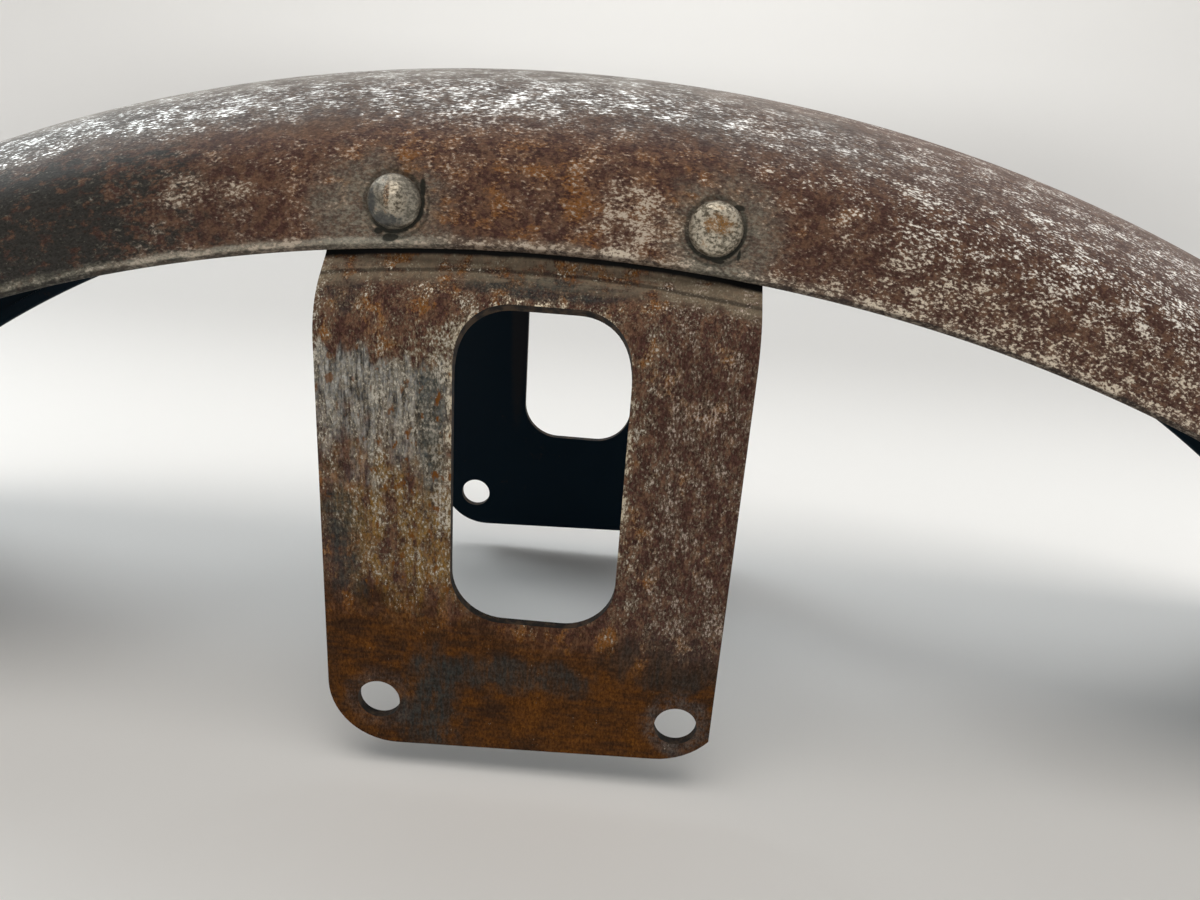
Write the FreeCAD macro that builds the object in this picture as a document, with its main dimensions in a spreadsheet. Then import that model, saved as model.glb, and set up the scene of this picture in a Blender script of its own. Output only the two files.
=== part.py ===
"""Motorcycle front fender: a crowned steel blade with two riveted mounting plates.

X runs along the fender, Y across it and Z up. The fender stands as an arch on the four lower corners of its
lips, so Z = 0 is the surface under it, and the wheel's axis lies below that surface, along Y at X = 0.
The near side is the one at negative Y. All sizes are in millimetres and degrees.
"""
import FreeCAD, Part
import math
import os
import Sketcher

DIMENSIONS = {
    # the blade: its arc about the wheel's axis, then its section
    "lip_radius": 315.0,
    "half_arc": 48.5,
    "lip_half_width": 46.5,
    "crown_rise": 30.7,
    "sheet_thickness": 1.0,
    "skirt_lean": 8.0,
    "skirt_height": 9.0,
    "shoulder_radius": 14.0,
    "hem_height": 3.4,
    # the mounting plates: where they stand, then their outline
    "plate_spread": 107.0,
    "plate_offset": 3.0,
    "plate_drop": 99.4,
    "plate_thickness": 2.0,
    "plate_width": 80.4,
    "corner_radius": 14.0,
    "bottom_slope": 1.95,
    "edge_trim": 3.25,
    "window_width": 31.4,
    "window_height": 60.7,
    "window_sill": 29.6,
    "window_radius": 10.0,
    "bolt_inset": 10.2,
    "bolt_height": 9.3,
    "bolt_hole": 8.5,
    # the joggle that takes each plate's flange inside the hem; the bend uses this share of the leg's length
    "leg_angle": 49.0,
    "bend_share": 0.525,
    "return_radius": 2.0,
    "leg_gap": 0.3,
    "seat_gap": 0.45,
    "flange_height": 11.4,
    # the rivets
    "rivet_pitch": 55.6,
    "rivet_height": 8.0,
    "shank_diameter": 5.0,
    "shank_clearance": 0.1,
    "head_gap": 0.02,
    "head_diameter": 9.4,
    "head_flat": 6.6,
    "head_rise": 2.4,
    "tail_diameter": 8.0,
    "tail_rise": 1.9,
    # how far a cutting outline runs past the metal that it cuts
    "cut_margin": 6.0,
}

# How a sketch numbers the points of a curve, and its own origin and axes
START, END, CENTRE = range(1, 4)
ORIGIN, UPRIGHT_AXIS = range(-1, -3, -1)

doc = FreeCAD.newDocument("front_fender")
sheet = doc.addObject("Spreadsheet::Sheet", "Dims")
for row, (name, value) in enumerate(DIMENSIONS.items(), start=1):
    sheet.set(f"A{row}", name)
    sheet.set(f"B{row}", str(value))
    sheet.setAlias(f"B{row}", name)
doc.recompute()

# Places that several pieces share, as formulas on the sheet
AXIS_DROP = "Dims.lip_radius * cos(Dims.half_arc)"
LIP_LEVEL = f"(Dims.lip_radius - {AXIS_DROP})"
# The hem's fold is half an octagon, whose corners lie 22.5 degrees to each side of the middle of its flats
HEM_REACH = "(Dims.sheet_thickness * cos(22.5 - Dims.skirt_lean) / cos(22.5))"
HEM_CENTRE_OUT = f"(Dims.lip_half_width - {HEM_REACH})"
HEM_CENTRE_LEVEL = f"({LIP_LEVEL} + {HEM_REACH})"
PLATE_BOTTOM = f"({LIP_LEVEL} - Dims.plate_drop)"
PLATE_REACH = "(Dims.plate_width / 2 + Dims.plate_offset - Dims.edge_trim)"
HEM_LEVEL_AT_PLATE_EDGE = (f"(sqrt((Dims.lip_radius + {HEM_REACH})^2 - {PLATE_REACH}^2)"
                           f" - {AXIS_DROP})")
# Where the leg's outer face meets the flange's, out from the hem's centre, and the leg's length from there
HEM_DROP = f"({HEM_CENTRE_LEVEL} - {HEM_LEVEL_AT_PLATE_EDGE})"
RETURN_OUT = ("(((Dims.sheet_thickness + Dims.leg_gap) * sin(Dims.skirt_lean)"
              " - (Dims.sheet_thickness + Dims.seat_gap) * sin(Dims.leg_angle)"
              f" + {HEM_DROP} * sin(Dims.leg_angle) * sin(Dims.skirt_lean))"
              " / sin(Dims.leg_angle - Dims.skirt_lean))")
LEG_LENGTH = f"((Dims.plate_spread / 2 - {HEM_CENTRE_OUT} - {RETURN_OUT}) / sin(Dims.leg_angle))"
BEND_RUN = f"(Dims.bend_share * {LEG_LENGTH})"
BEND_RADIUS = f"({BEND_RUN} / tan(Dims.leg_angle / 2))"
BOLT_HALF_SPACING = "(Dims.plate_width / 2 - Dims.bolt_inset)"
RIVET_CIRCLE = "(Dims.lip_radius + Dims.rivet_height)"
RIVET_STEP = f"(2 * asin(Dims.rivet_pitch / 2 / {RIVET_CIRCLE}))"
RIVET_TURN = f"(asin(Dims.plate_offset / {RIVET_CIRCLE}) + {RIVET_STEP} / 2)"
RIVET_GRIP = "(2 * Dims.sheet_thickness + Dims.seat_gap + Dims.plate_thickness)"


def number(formula):
    """The present value of a formula on the sheet."""
    result = sheet.evalExpression(formula)
    return float(getattr(result, "Value", result))


def size(name):
    return number("Dims." + name)


def vector(x, y):
    return FreeCAD.Vector(x, y, 0)


def line(a, b):
    return Part.LineSegment(vector(*a), vector(*b))


def arc(centre, radius, start_angle, end_angle):
    circle = Part.Circle(vector(*centre), FreeCAD.Vector(0, 0, 1), radius)
    return Part.ArcOfCircle(circle, start_angle, end_angle)


def shifted(point, direction, distance):
    return (point[0] + direction[0] * distance, point[1] + direction[1] * distance)


def new_body(label):
    body = doc.addObject("PartDesign::Body", label)
    body.Label = label
    body.AllowCompound = True
    return body


def new_sketch(body, name, plane):
    """A sketch on one of the body's own origin planes."""
    sketch = body.newObject("Sketcher::SketchObject", name)
    support = next(f for f in body.Origin.OriginFeatures if f.Role == plane)
    sketch.AttachmentSupport = [(support, "")]
    sketch.MapMode = "FlatFace"
    return sketch


def rule(sketch, kind, *elements):
    sketch.addConstraint(Sketcher.Constraint(kind, *elements))


def bind(sketch, name, formula, kind, *elements):
    """A dimension of the sketch that follows a formula on the sheet."""
    value = number(formula)
    if kind == "Angle":
        value = math.radians(value)
    index = sketch.addConstraint(Sketcher.Constraint(kind, *elements, value))
    sketch.renameConstraint(index, name)
    sketch.setExpression("Constraints." + name, formula)


def guide(sketch, geometry):
    """A construction line or point, which shapes the sketch and makes no edge."""
    index = sketch.addGeometry(geometry)
    sketch.setConstruction(index, True)
    return index


def cut_through(body, sketch, name):
    """Cuts the sketch's outline right through the body, to both sides of the sketch."""
    before = body.Tip.Shape.Volume
    pocket = body.newObject("PartDesign::Pocket", name)
    pocket.Profile = sketch
    pocket.Type = "ThroughAll"
    pocket.SideType = "Symmetric"
    doc.recompute()
    if pocket.Shape.Volume >= before:
        raise RuntimeError(name + " cut nothing")
    return pocket


def wheel_axis_guide(sketch):
    """The wheel's axis, as a line along Y in a sketch on the YZ plane."""
    axis_level = -number(AXIS_DROP)
    reach = size("lip_half_width")
    axis = guide(sketch, line((0, axis_level), (reach, axis_level)))
    rule(sketch, "PointOnObject", axis, START, UPRIGHT_AXIS)
    rule(sketch, "Horizontal", axis)
    bind(sketch, "axis_drop", AXIS_DROP, "DistanceY", axis, START, ORIGIN, 1)
    bind(sketch, "axis_length", "Dims.lip_half_width", "DistanceX", axis, START, axis, END)
    return axis


def blade_section(body):
    """The near half of the blade's section: crown, shoulder, skirt and folded hem.

    The sketch is turned about Z, so that its x runs from the middle towards the near side. The hem's fold is
    drawn as three flats round a centre that lies on the skirt's inner face.
    """
    sketch = new_sketch(body, "blade_section", "YZ_Plane")
    half_turn = FreeCAD.Rotation(FreeCAD.Vector(0, 1, 0), 180)
    sketch.AttachmentOffset = FreeCAD.Placement(FreeCAD.Vector(), half_turn)
    wheel_axis_guide(sketch)
    lean = math.radians(size("skirt_lean"))
    sheet_t, shoulder = size("sheet_thickness"), size("shoulder_radius")
    lip_level = number(LIP_LEVEL)
    outwards = (math.cos(lean), math.sin(lean))
    upwards = (-math.sin(lean), math.cos(lean))
    hem = (number(HEM_CENTRE_OUT), number(HEM_CENTRE_LEVEL))
    half_flat = sheet_t * math.tan(math.pi / 8)

    def hem_corner(out, down):
        return shifted(shifted(hem, outwards, out), upwards, -down)

    hem_out, hem_in = hem_corner(sheet_t, half_flat), hem_corner(-sheet_t, half_flat)
    fold_out, fold_in = hem_corner(half_flat, sheet_t), hem_corner(-half_flat, sheet_t)
    skirt_run = (lip_level + size("skirt_height") - hem_out[1]) / upwards[1]
    leaf_run = (lip_level + size("hem_height") - hem_in[1]) / upwards[1]
    skirt_top = shifted(hem_out, upwards, skirt_run)
    leaf_top = shifted(hem_in, upwards, leaf_run)
    shoulder_centre = shifted(skirt_top, outwards, -shoulder)
    apex = lip_level + size("crown_rise")
    drop = apex - shoulder_centre[1]
    crown = (shoulder_centre[0] ** 2 + drop ** 2 - shoulder ** 2) / (2 * (drop - shoulder))
    crown_centre = (0, apex - crown)
    meet = math.atan2(shoulder_centre[1] - crown_centre[1], shoulder_centre[0])

    crown_out = sketch.addGeometry(arc(crown_centre, crown, meet, math.pi / 2))
    shoulder_out = sketch.addGeometry(arc(shoulder_centre, shoulder, lean, meet))
    skirt_out = sketch.addGeometry(line(skirt_top, hem_out))
    outer_flat = sketch.addGeometry(line(fold_out, hem_out))
    bottom_flat = sketch.addGeometry(line(fold_out, fold_in))
    inner_flat = sketch.addGeometry(line(fold_in, hem_in))
    leaf = sketch.addGeometry(line(hem_in, leaf_top))
    leaf_end = sketch.addGeometry(line(leaf_top, shifted(leaf_top, outwards, sheet_t)))
    skirt_foot = shifted(leaf_top, outwards, sheet_t)
    skirt_in = sketch.addGeometry(line(skirt_foot, shifted(skirt_top, outwards, -sheet_t)))
    shoulder_in = sketch.addGeometry(arc(shoulder_centre, shoulder - sheet_t, lean, meet))
    crown_in = sketch.addGeometry(arc(crown_centre, crown - sheet_t, meet, math.pi / 2))
    middle = sketch.addGeometry(line((0, apex - sheet_t), (0, apex)))
    hem_centre = guide(sketch, Part.Point(vector(*hem)))

    rule(sketch, "Tangent", crown_out, START, shoulder_out, END)
    rule(sketch, "Tangent", shoulder_out, START, skirt_out, START)
    rule(sketch, "Coincident", skirt_out, END, outer_flat, END)
    rule(sketch, "Coincident", outer_flat, START, bottom_flat, START)
    rule(sketch, "Coincident", bottom_flat, END, inner_flat, START)
    rule(sketch, "Coincident", inner_flat, END, leaf, START)
    rule(sketch, "Coincident", leaf, END, leaf_end, START)
    rule(sketch, "Coincident", leaf_end, END, skirt_in, START)
    rule(sketch, "Tangent", skirt_in, END, shoulder_in, START)
    rule(sketch, "Tangent", shoulder_in, END, crown_in, START)
    rule(sketch, "Coincident", crown_in, END, middle, START)
    rule(sketch, "Coincident", middle, END, crown_out, END)
    rule(sketch, "Coincident", shoulder_in, CENTRE, shoulder_out, CENTRE)
    rule(sketch, "Coincident", crown_in, CENTRE, crown_out, CENTRE)
    rule(sketch, "PointOnObject", crown_out, CENTRE, UPRIGHT_AXIS)
    rule(sketch, "PointOnObject", crown_out, END, UPRIGHT_AXIS)
    rule(sketch, "PointOnObject", crown_in, END, UPRIGHT_AXIS)
    rule(sketch, "PointOnObject", hem_centre, 1, skirt_in)
    rule(sketch, "Parallel", leaf, skirt_in)
    rule(sketch, "Perpendicular", leaf, leaf_end)
    rule(sketch, "Perpendicular", leaf, bottom_flat)
    bind(sketch, "hem_out", HEM_CENTRE_OUT, "DistanceX", ORIGIN, 1, hem_centre, 1)
    bind(sketch, "hem_level", HEM_CENTRE_LEVEL, "DistanceY", ORIGIN, 1, hem_centre, 1)
    hem_sides = {"skirt": skirt_out, "outer_flat": outer_flat, "bottom_flat": bottom_flat,
                 "inner_flat": inner_flat, "leaf": leaf}
    for name, side in hem_sides.items():
        bind(sketch, name + "_out", "Dims.sheet_thickness", "Distance", hem_centre, 1, side)
    bind(sketch, "outer_flat_angle", "45 + Dims.skirt_lean", "Angle", outer_flat)
    bind(sketch, "inner_flat_angle", "135 + Dims.skirt_lean", "Angle", inner_flat)
    bind(sketch, "skirt_angle", "90 + Dims.skirt_lean", "Angle", skirt_in)
    bind(sketch, "skirt_top", LIP_LEVEL + " + Dims.skirt_height", "DistanceY", ORIGIN, 1, skirt_out, START)
    bind(sketch, "leaf_top", LIP_LEVEL + " + Dims.hem_height", "DistanceY", ORIGIN, 1, leaf, END)
    bind(sketch, "shoulder", "Dims.shoulder_radius", "Radius", shoulder_out)
    bind(sketch, "apex", LIP_LEVEL + " + Dims.crown_rise", "DistanceY", ORIGIN, 1, crown_out, END)
    bind(sketch, "sheet", "Dims.sheet_thickness", "DistanceY", middle, START, middle, END)
    return sketch


def rivet_sketch(body, name):
    """A sketch in the plane of the wheel's axis and one near-side rivet.

    Its first guide is the rivet's axis, square to the skirt, from the skirt's face outwards. Its second guide
    is the wheel's axis.
    """
    sketch = new_sketch(body, name, "YZ_Plane")
    turn = FreeCAD.Rotation(FreeCAD.Vector(1, 0, 0), number(RIVET_TURN))
    sketch.AttachmentOffset = FreeCAD.Placement(FreeCAD.Vector(), turn)
    sketch.setExpression("AttachmentOffset.Rotation.Angle", RIVET_TURN)
    sketch.setExpression("AttachmentOffset.Base.y", f"-({AXIS_DROP}) * (1 - cos({RIVET_TURN}))")
    sketch.setExpression("AttachmentOffset.Base.z", f"({AXIS_DROP}) * sin({RIVET_TURN})")
    lean = math.radians(size("skirt_lean"))
    outwards, upwards = (-math.cos(lean), math.sin(lean)), (math.sin(lean), math.cos(lean))
    hem = (-number(HEM_CENTRE_OUT), number(HEM_CENTRE_LEVEL))
    foot = shifted(hem, outwards, size("sheet_thickness"))
    seat = shifted(foot, upwards, (number(LIP_LEVEL) + size("rivet_height") - foot[1]) / upwards[1])
    axis = guide(sketch, line(seat, shifted(seat, outwards, size("head_diameter"))))
    wheel_axis_guide(sketch)
    centre = guide(sketch, Part.Point(vector(*hem)))
    skirt = guide(sketch, line(foot, seat))
    radius = guide(sketch, line(hem, foot))
    rule(sketch, "Coincident", skirt, END, axis, START)
    rule(sketch, "Coincident", radius, START, centre, 1)
    rule(sketch, "Coincident", radius, END, skirt, START)
    rule(sketch, "Perpendicular", skirt, axis)
    rule(sketch, "Perpendicular", skirt, radius)
    bind(sketch, "hem_out", HEM_CENTRE_OUT, "DistanceX", centre, 1, ORIGIN, 1)
    bind(sketch, "hem_level", HEM_CENTRE_LEVEL, "DistanceY", ORIGIN, 1, centre, 1)
    bind(sketch, "sheet", "Dims.sheet_thickness", "Distance", radius)
    bind(sketch, "skirt_angle", "90 - Dims.skirt_lean", "Angle", skirt)
    bind(sketch, "seat_level", LIP_LEVEL + " + Dims.rivet_height", "DistanceY", ORIGIN, 1, skirt, END)
    bind(sketch, "axis_reach", "Dims.head_diameter", "Distance", axis)
    return sketch, axis, seat, outwards, upwards


def second_of_pair(body, sketch, feature, name):
    """Repeats a rivet's feature at the other rivet of the same plate."""
    pattern = body.newObject("PartDesign::PolarPattern", name)
    pattern.Originals = [feature]
    pattern.Axis = (sketch, ["Axis1"])
    pattern.Reversed = True
    pattern.Occurrences = 2
    pattern.setExpression("Angle", RIVET_STEP)
    body.Tip = pattern
    doc.recompute()
    return pattern


def rivet_holes(body):
    """The two holes for a plate's rivets, drilled square to the skirt."""
    sketch, axis, seat, outwards, upwards = rivet_sketch(body, "rivet_hole_profile")
    radius = "(Dims.shank_diameter / 2 + Dims.shank_clearance)"
    depth = f"({RIVET_GRIP} + Dims.cut_margin)"
    front = shifted(seat, outwards, size("cut_margin"))
    back = shifted(seat, outwards, -number(depth))
    corners = [front, back, shifted(back, upwards, number(radius)), shifted(front, upwards, number(radius))]
    sides = [sketch.addGeometry(line(a, b)) for a, b in zip(corners, corners[1:] + corners[:1])]
    for side, following in zip(sides, sides[1:] + sides[:1]):
        rule(sketch, "Coincident", side, END, following, START)
        if following != sides[0]:
            rule(sketch, "Perpendicular", side, following)
    rule(sketch, "PointOnObject", sides[0], START, axis)
    rule(sketch, "PointOnObject", sides[0], END, axis)
    bind(sketch, "front", "Dims.cut_margin", "Distance", sides[0], START, axis, START)
    bind(sketch, "depth", depth, "Distance", sides[0], END, axis, START)
    bind(sketch, "radius", radius, "Distance", sides[1])
    before = body.Tip.Shape.Volume
    hole = body.newObject("PartDesign::Groove", "rivet_hole")
    hole.Profile = sketch
    hole.ReferenceAxis = (sketch, ["Axis0"])
    hole.Angle = 360.0
    doc.recompute()
    first_cut = before - hole.Shape.Volume
    pair = second_of_pair(body, sketch, hole, "rivet_hole_pair")
    if first_cut <= 0 or before - pair.Shape.Volume < 1.5 * first_cut:
        raise RuntimeError("the rivet holes of " + body.Label + " are not both cut")


def mirror_across(body, name):
    """Adds the far half of a body that has been modelled on one side only."""
    mirror = body.newObject("PartDesign::Mirrored", name)
    mirror.TransformMode = "Whole shape"
    plane = next(f for f in body.Origin.OriginFeatures if f.Role == "XZ_Plane")
    mirror.MirrorPlane = (plane, [""])
    body.Tip = mirror
    doc.recompute()


def fender_blade():
    """One pressed sheet: the section turned about the wheel's axis, near half and far half."""
    body = new_body("fender_blade")
    section = blade_section(body)
    shell = body.newObject("PartDesign::Revolution", "blade_half")
    shell.Profile = section
    shell.ReferenceAxis = (section, ["Axis0"])
    shell.Midplane = True
    shell.setExpression("Angle", "2 * Dims.half_arc")
    doc.recompute()
    rivet_holes(body)
    mirror_across(body, "far_half")
    return body


def joggled_profile(body):
    """The near plate seen along the fender: plate, bend, leg under the hem and flange on the skirt."""
    sketch = new_sketch(body, "joggled_profile", "YZ_Plane")
    sketch.setExpression("AttachmentOffset.Base.z", "Dims.plate_offset")
    thick, outer_bend, back_bend = size("plate_thickness"), number(BEND_RADIUS), size("return_radius")
    slant, lean = math.radians(size("leg_angle")), math.radians(size("skirt_lean"))
    leg_way, leg_out = (math.sin(slant), math.cos(slant)), (-math.cos(slant), math.sin(slant))
    flange_way, flange_out = (math.sin(lean), math.cos(lean)), (-math.cos(lean), math.sin(lean))
    hem = (-number(HEM_CENTRE_OUT), number(HEM_CENTRE_LEVEL))
    low_hem = (hem[0], number(HEM_LEVEL_AT_PLATE_EDGE))
    face = -size("plate_spread") / 2
    sheet_t = size("sheet_thickness")
    leg_point = shifted(low_hem, leg_out, -(sheet_t + size("leg_gap")))
    flange_point = shifted(hem, flange_out, -(sheet_t + size("seat_gap")))
    bend_corner = shifted(leg_point, leg_way, (face - leg_point[0]) / leg_way[0])
    across = (flange_point[0] - leg_point[0], flange_point[1] - leg_point[1])
    cross = leg_way[0] * flange_way[1] - leg_way[1] * flange_way[0]
    leg_run = (across[0] * flange_way[1] - across[1] * flange_way[0]) / cross
    return_corner = shifted(leg_point, leg_way, leg_run)
    bend_run = number(BEND_RUN)
    return_run = back_bend * math.tan((slant - lean) / 2)
    plate_top = shifted(bend_corner, (0, 1), -bend_run)
    leg_low = shifted(bend_corner, leg_way, bend_run)
    leg_high = shifted(return_corner, leg_way, -return_run)
    flange_low = shifted(return_corner, flange_way, return_run)
    top_level = number(LIP_LEVEL) + size("flange_height")
    flange_top = shifted(flange_low, flange_way, (top_level - flange_low[1]) / flange_way[1])
    blank_depth = f"Dims.plate_drop + {HEM_REACH} + Dims.plate_width * tan(Dims.bottom_slope)"
    foot = (face, hem[1] - number(blank_depth))
    bend_centre = shifted(plate_top, (1, 0), outer_bend)
    return_centre = shifted(flange_low, flange_out, back_bend)

    def inside(point, outwards):
        return shifted(point, outwards, -thick)

    plate_out = sketch.addGeometry(line(foot, plate_top))
    bend_out = sketch.addGeometry(arc(bend_centre, outer_bend, math.pi - slant, math.pi))
    leg = sketch.addGeometry(line(leg_low, leg_high))
    return_out = sketch.addGeometry(arc(return_centre, back_bend, -slant, -lean))
    flange = sketch.addGeometry(line(flange_low, flange_top))
    top = sketch.addGeometry(line(flange_top, inside(flange_top, flange_out)))
    flange_in = sketch.addGeometry(line(inside(flange_top, flange_out), inside(flange_low, flange_out)))
    return_in = sketch.addGeometry(arc(return_centre, back_bend + thick, -slant, -lean))
    leg_in = sketch.addGeometry(line(inside(leg_high, leg_out), inside(leg_low, leg_out)))
    bend_in = sketch.addGeometry(arc(bend_centre, outer_bend - thick, math.pi - slant, math.pi))
    plate_in = sketch.addGeometry(line(inside(plate_top, (-1, 0)), inside(foot, (-1, 0))))
    bottom = sketch.addGeometry(line(inside(foot, (-1, 0)), foot))
    hem_point = guide(sketch, Part.Point(vector(*hem)))
    low_hem_point = guide(sketch, Part.Point(vector(*low_hem)))

    rule(sketch, "Vertical", plate_out)
    rule(sketch, "Vertical", plate_in)
    rule(sketch, "Horizontal", bottom)
    rule(sketch, "Tangent", plate_out, END, bend_out, END)
    rule(sketch, "Tangent", bend_out, START, leg, START)
    rule(sketch, "Tangent", leg, END, return_out, START)
    rule(sketch, "Tangent", return_out, END, flange, START)
    rule(sketch, "Coincident", flange, END, top, START)
    rule(sketch, "Perpendicular", flange, top)
    rule(sketch, "Coincident", top, END, flange_in, START)
    rule(sketch, "Parallel", flange_in, flange)
    rule(sketch, "Tangent", flange_in, END, return_in, END)
    rule(sketch, "Tangent", return_in, START, leg_in, START)
    rule(sketch, "Tangent", leg_in, END, bend_in, START)
    rule(sketch, "Tangent", bend_in, END, plate_in, START)
    rule(sketch, "Coincident", plate_in, END, bottom, START)
    rule(sketch, "Coincident", bottom, END, plate_out, START)
    rule(sketch, "Coincident", bend_in, CENTRE, bend_out, CENTRE)
    rule(sketch, "Coincident", return_in, CENTRE, return_out, CENTRE)
    bind(sketch, "half_spread", "Dims.plate_spread / 2", "DistanceX", plate_out, START, ORIGIN, 1)
    bind(sketch, "thickness", "Dims.plate_thickness", "DistanceX", bottom, END, bottom, START)
    bind(sketch, "flange_thickness", "Dims.plate_thickness", "Distance", top)
    bind(sketch, "bend", BEND_RADIUS, "Radius", bend_out)
    bind(sketch, "return_bend", "Dims.return_radius", "Radius", return_out)
    bind(sketch, "leg_angle", "90 - Dims.leg_angle", "Angle", leg)
    bind(sketch, "flange_angle", "90 - Dims.skirt_lean", "Angle", flange)
    bind(sketch, "hem_out", HEM_CENTRE_OUT, "DistanceX", hem_point, 1, ORIGIN, 1)
    bind(sketch, "hem_level", HEM_CENTRE_LEVEL, "DistanceY", ORIGIN, 1, hem_point, 1)
    bind(sketch, "low_hem_out", HEM_CENTRE_OUT, "DistanceX", low_hem_point, 1, ORIGIN, 1)
    bind(sketch, "low_hem_level", HEM_LEVEL_AT_PLATE_EDGE, "DistanceY", ORIGIN, 1, low_hem_point, 1)
    bind(sketch, "leg_clear", "Dims.sheet_thickness + Dims.leg_gap", "Distance", low_hem_point, 1, leg)
    bind(sketch, "flange_clear", "Dims.sheet_thickness + Dims.seat_gap", "Distance", hem_point, 1, flange)
    bind(sketch, "flange_rise", "Dims.flange_height - " + HEM_REACH, "DistanceY", hem_point, 1, flange, END)
    bind(sketch, "blank_depth", blank_depth, "DistanceY", plate_out, START, hem_point, 1)
    return sketch


def plate_centre_guide(sketch):
    """The middle of the plate's bottom edge, from which the outline is measured."""
    centre = guide(sketch, Part.Point(vector(size("plate_offset"), number(PLATE_BOTTOM))))
    bind(sketch, "centre_x", "Dims.plate_offset", "DistanceX", ORIGIN, 1, centre, 1)
    bind(sketch, "centre_z", PLATE_BOTTOM, "DistanceY", ORIGIN, 1, centre, 1)
    return centre


def bottom_outline(body):
    """What is cut off below the plate: the sloping bottom edge with its two round corners."""
    sketch = new_sketch(body, "bottom_outline", "XZ_Plane")
    centre = plate_centre_guide(sketch)
    middle_x, middle_z = size("plate_offset"), number(PLATE_BOTTOM)
    half, radius, margin = size("plate_width") / 2, size("corner_radius"), size("cut_margin")
    slope = math.radians(size("bottom_slope"))
    rise = (math.cos(slope), math.sin(slope))

    def corner_centre(x):
        return (x, middle_z + ((x - middle_x) * rise[1] + radius) / rise[0])

    left_centre = corner_centre(middle_x - half + radius)
    right_centre = corner_centre(middle_x + half - radius)
    down = (rise[1], -rise[0])
    left_edge, right_edge = middle_x - half, middle_x + half
    floor = left_centre[1] - radius - margin
    left = sketch.addGeometry(arc(left_centre, radius, math.pi, 1.5 * math.pi + slope))
    edge = sketch.addGeometry(line(shifted(left_centre, down, radius), shifted(right_centre, down, radius)))
    right = sketch.addGeometry(arc(right_centre, radius, slope - math.pi / 2, 0))
    left_level, right_level = left_centre[1], right_centre[1]
    turns = [(right_edge, right_level), (right_edge + margin, right_level), (right_edge + margin, floor),
             (left_edge - margin, floor), (left_edge - margin, left_level), (left_edge, left_level)]
    waste = [sketch.addGeometry(line(a, b)) for a, b in zip(turns, turns[1:])]
    rule(sketch, "Tangent", left, END, edge, START)
    rule(sketch, "Tangent", edge, END, right, START)
    rule(sketch, "Coincident", right, END, waste[0], START)
    for side, following in zip(waste, waste[1:]):
        rule(sketch, "Coincident", side, END, following, START)
    rule(sketch, "Coincident", waste[-1], END, left, START)
    for side, way in zip(waste, ("Horizontal", "Vertical", "Horizontal", "Vertical", "Horizontal")):
        rule(sketch, way, side)
    rule(sketch, "Horizontal", left, START, left, CENTRE)
    rule(sketch, "Horizontal", right, END, right, CENTRE)
    rule(sketch, "PointOnObject", centre, 1, edge)
    bind(sketch, "slope", "Dims.bottom_slope", "Angle", edge)
    bind(sketch, "left_corner", "Dims.corner_radius", "Radius", left)
    bind(sketch, "right_corner", "Dims.corner_radius", "Radius", right)
    bind(sketch, "left_half", "Dims.plate_width / 2", "DistanceX", left, START, centre, 1)
    bind(sketch, "right_half", "Dims.plate_width / 2", "DistanceX", centre, 1, right, END)
    bind(sketch, "right_margin", "Dims.cut_margin", "DistanceX", waste[0], START, waste[0], END)
    bind(sketch, "left_margin", "Dims.cut_margin", "DistanceX", waste[-1], START, waste[-1], END)
    bind(sketch, "waste_depth", "Dims.corner_radius + Dims.cut_margin", "DistanceY",
         waste[3], START, waste[3], END)
    return sketch


def window_outline(body):
    """The rounded window in the middle of the plate."""
    sketch = new_sketch(body, "window_outline", "XZ_Plane")
    centre = plate_centre_guide(sketch)
    radius = size("window_radius")
    west = size("plate_offset") - size("window_width") / 2
    east = west + size("window_width")
    south = number(PLATE_BOTTOM) + size("window_sill")
    north = south + size("window_height")
    sill = sketch.addGeometry(line((west + radius, south), (east - radius, south)))
    east_side = sketch.addGeometry(line((east, south + radius), (east, north - radius)))
    head = sketch.addGeometry(line((east - radius, north), (west + radius, north)))
    west_side = sketch.addGeometry(line((west, north - radius), (west, south + radius)))
    quarter = math.pi / 2
    turns = (((east - radius, south + radius), 3), ((east - radius, north - radius), 0),
             ((west + radius, north - radius), 1), ((west + radius, south + radius), 2))
    corners = [sketch.addGeometry(arc(place, radius, first * quarter, (first + 1) * quarter))
               for place, first in turns]
    sides = [sill, east_side, head, west_side]
    for index, corner in enumerate(corners):
        rule(sketch, "Tangent", sides[index], END, corner, START)
        rule(sketch, "Tangent", corner, END, sides[(index + 1) % len(sides)], START)
    for side, way in zip(sides, ("Horizontal", "Vertical", "Horizontal", "Vertical")):
        rule(sketch, way, side)
    for corner in corners[1:]:
        rule(sketch, "Equal", corners[0], corner)
    bind(sketch, "corner", "Dims.window_radius", "Radius", corners[0])
    bind(sketch, "west_half", "Dims.window_width / 2", "DistanceX", west_side, START, centre, 1)
    bind(sketch, "east_half", "Dims.window_width / 2", "DistanceX", centre, 1, east_side, START)
    bind(sketch, "sill", "Dims.window_sill", "DistanceY", centre, 1, sill, START)
    bind(sketch, "height", "Dims.window_height", "DistanceY", sill, START, head, START)
    return sketch


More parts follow.
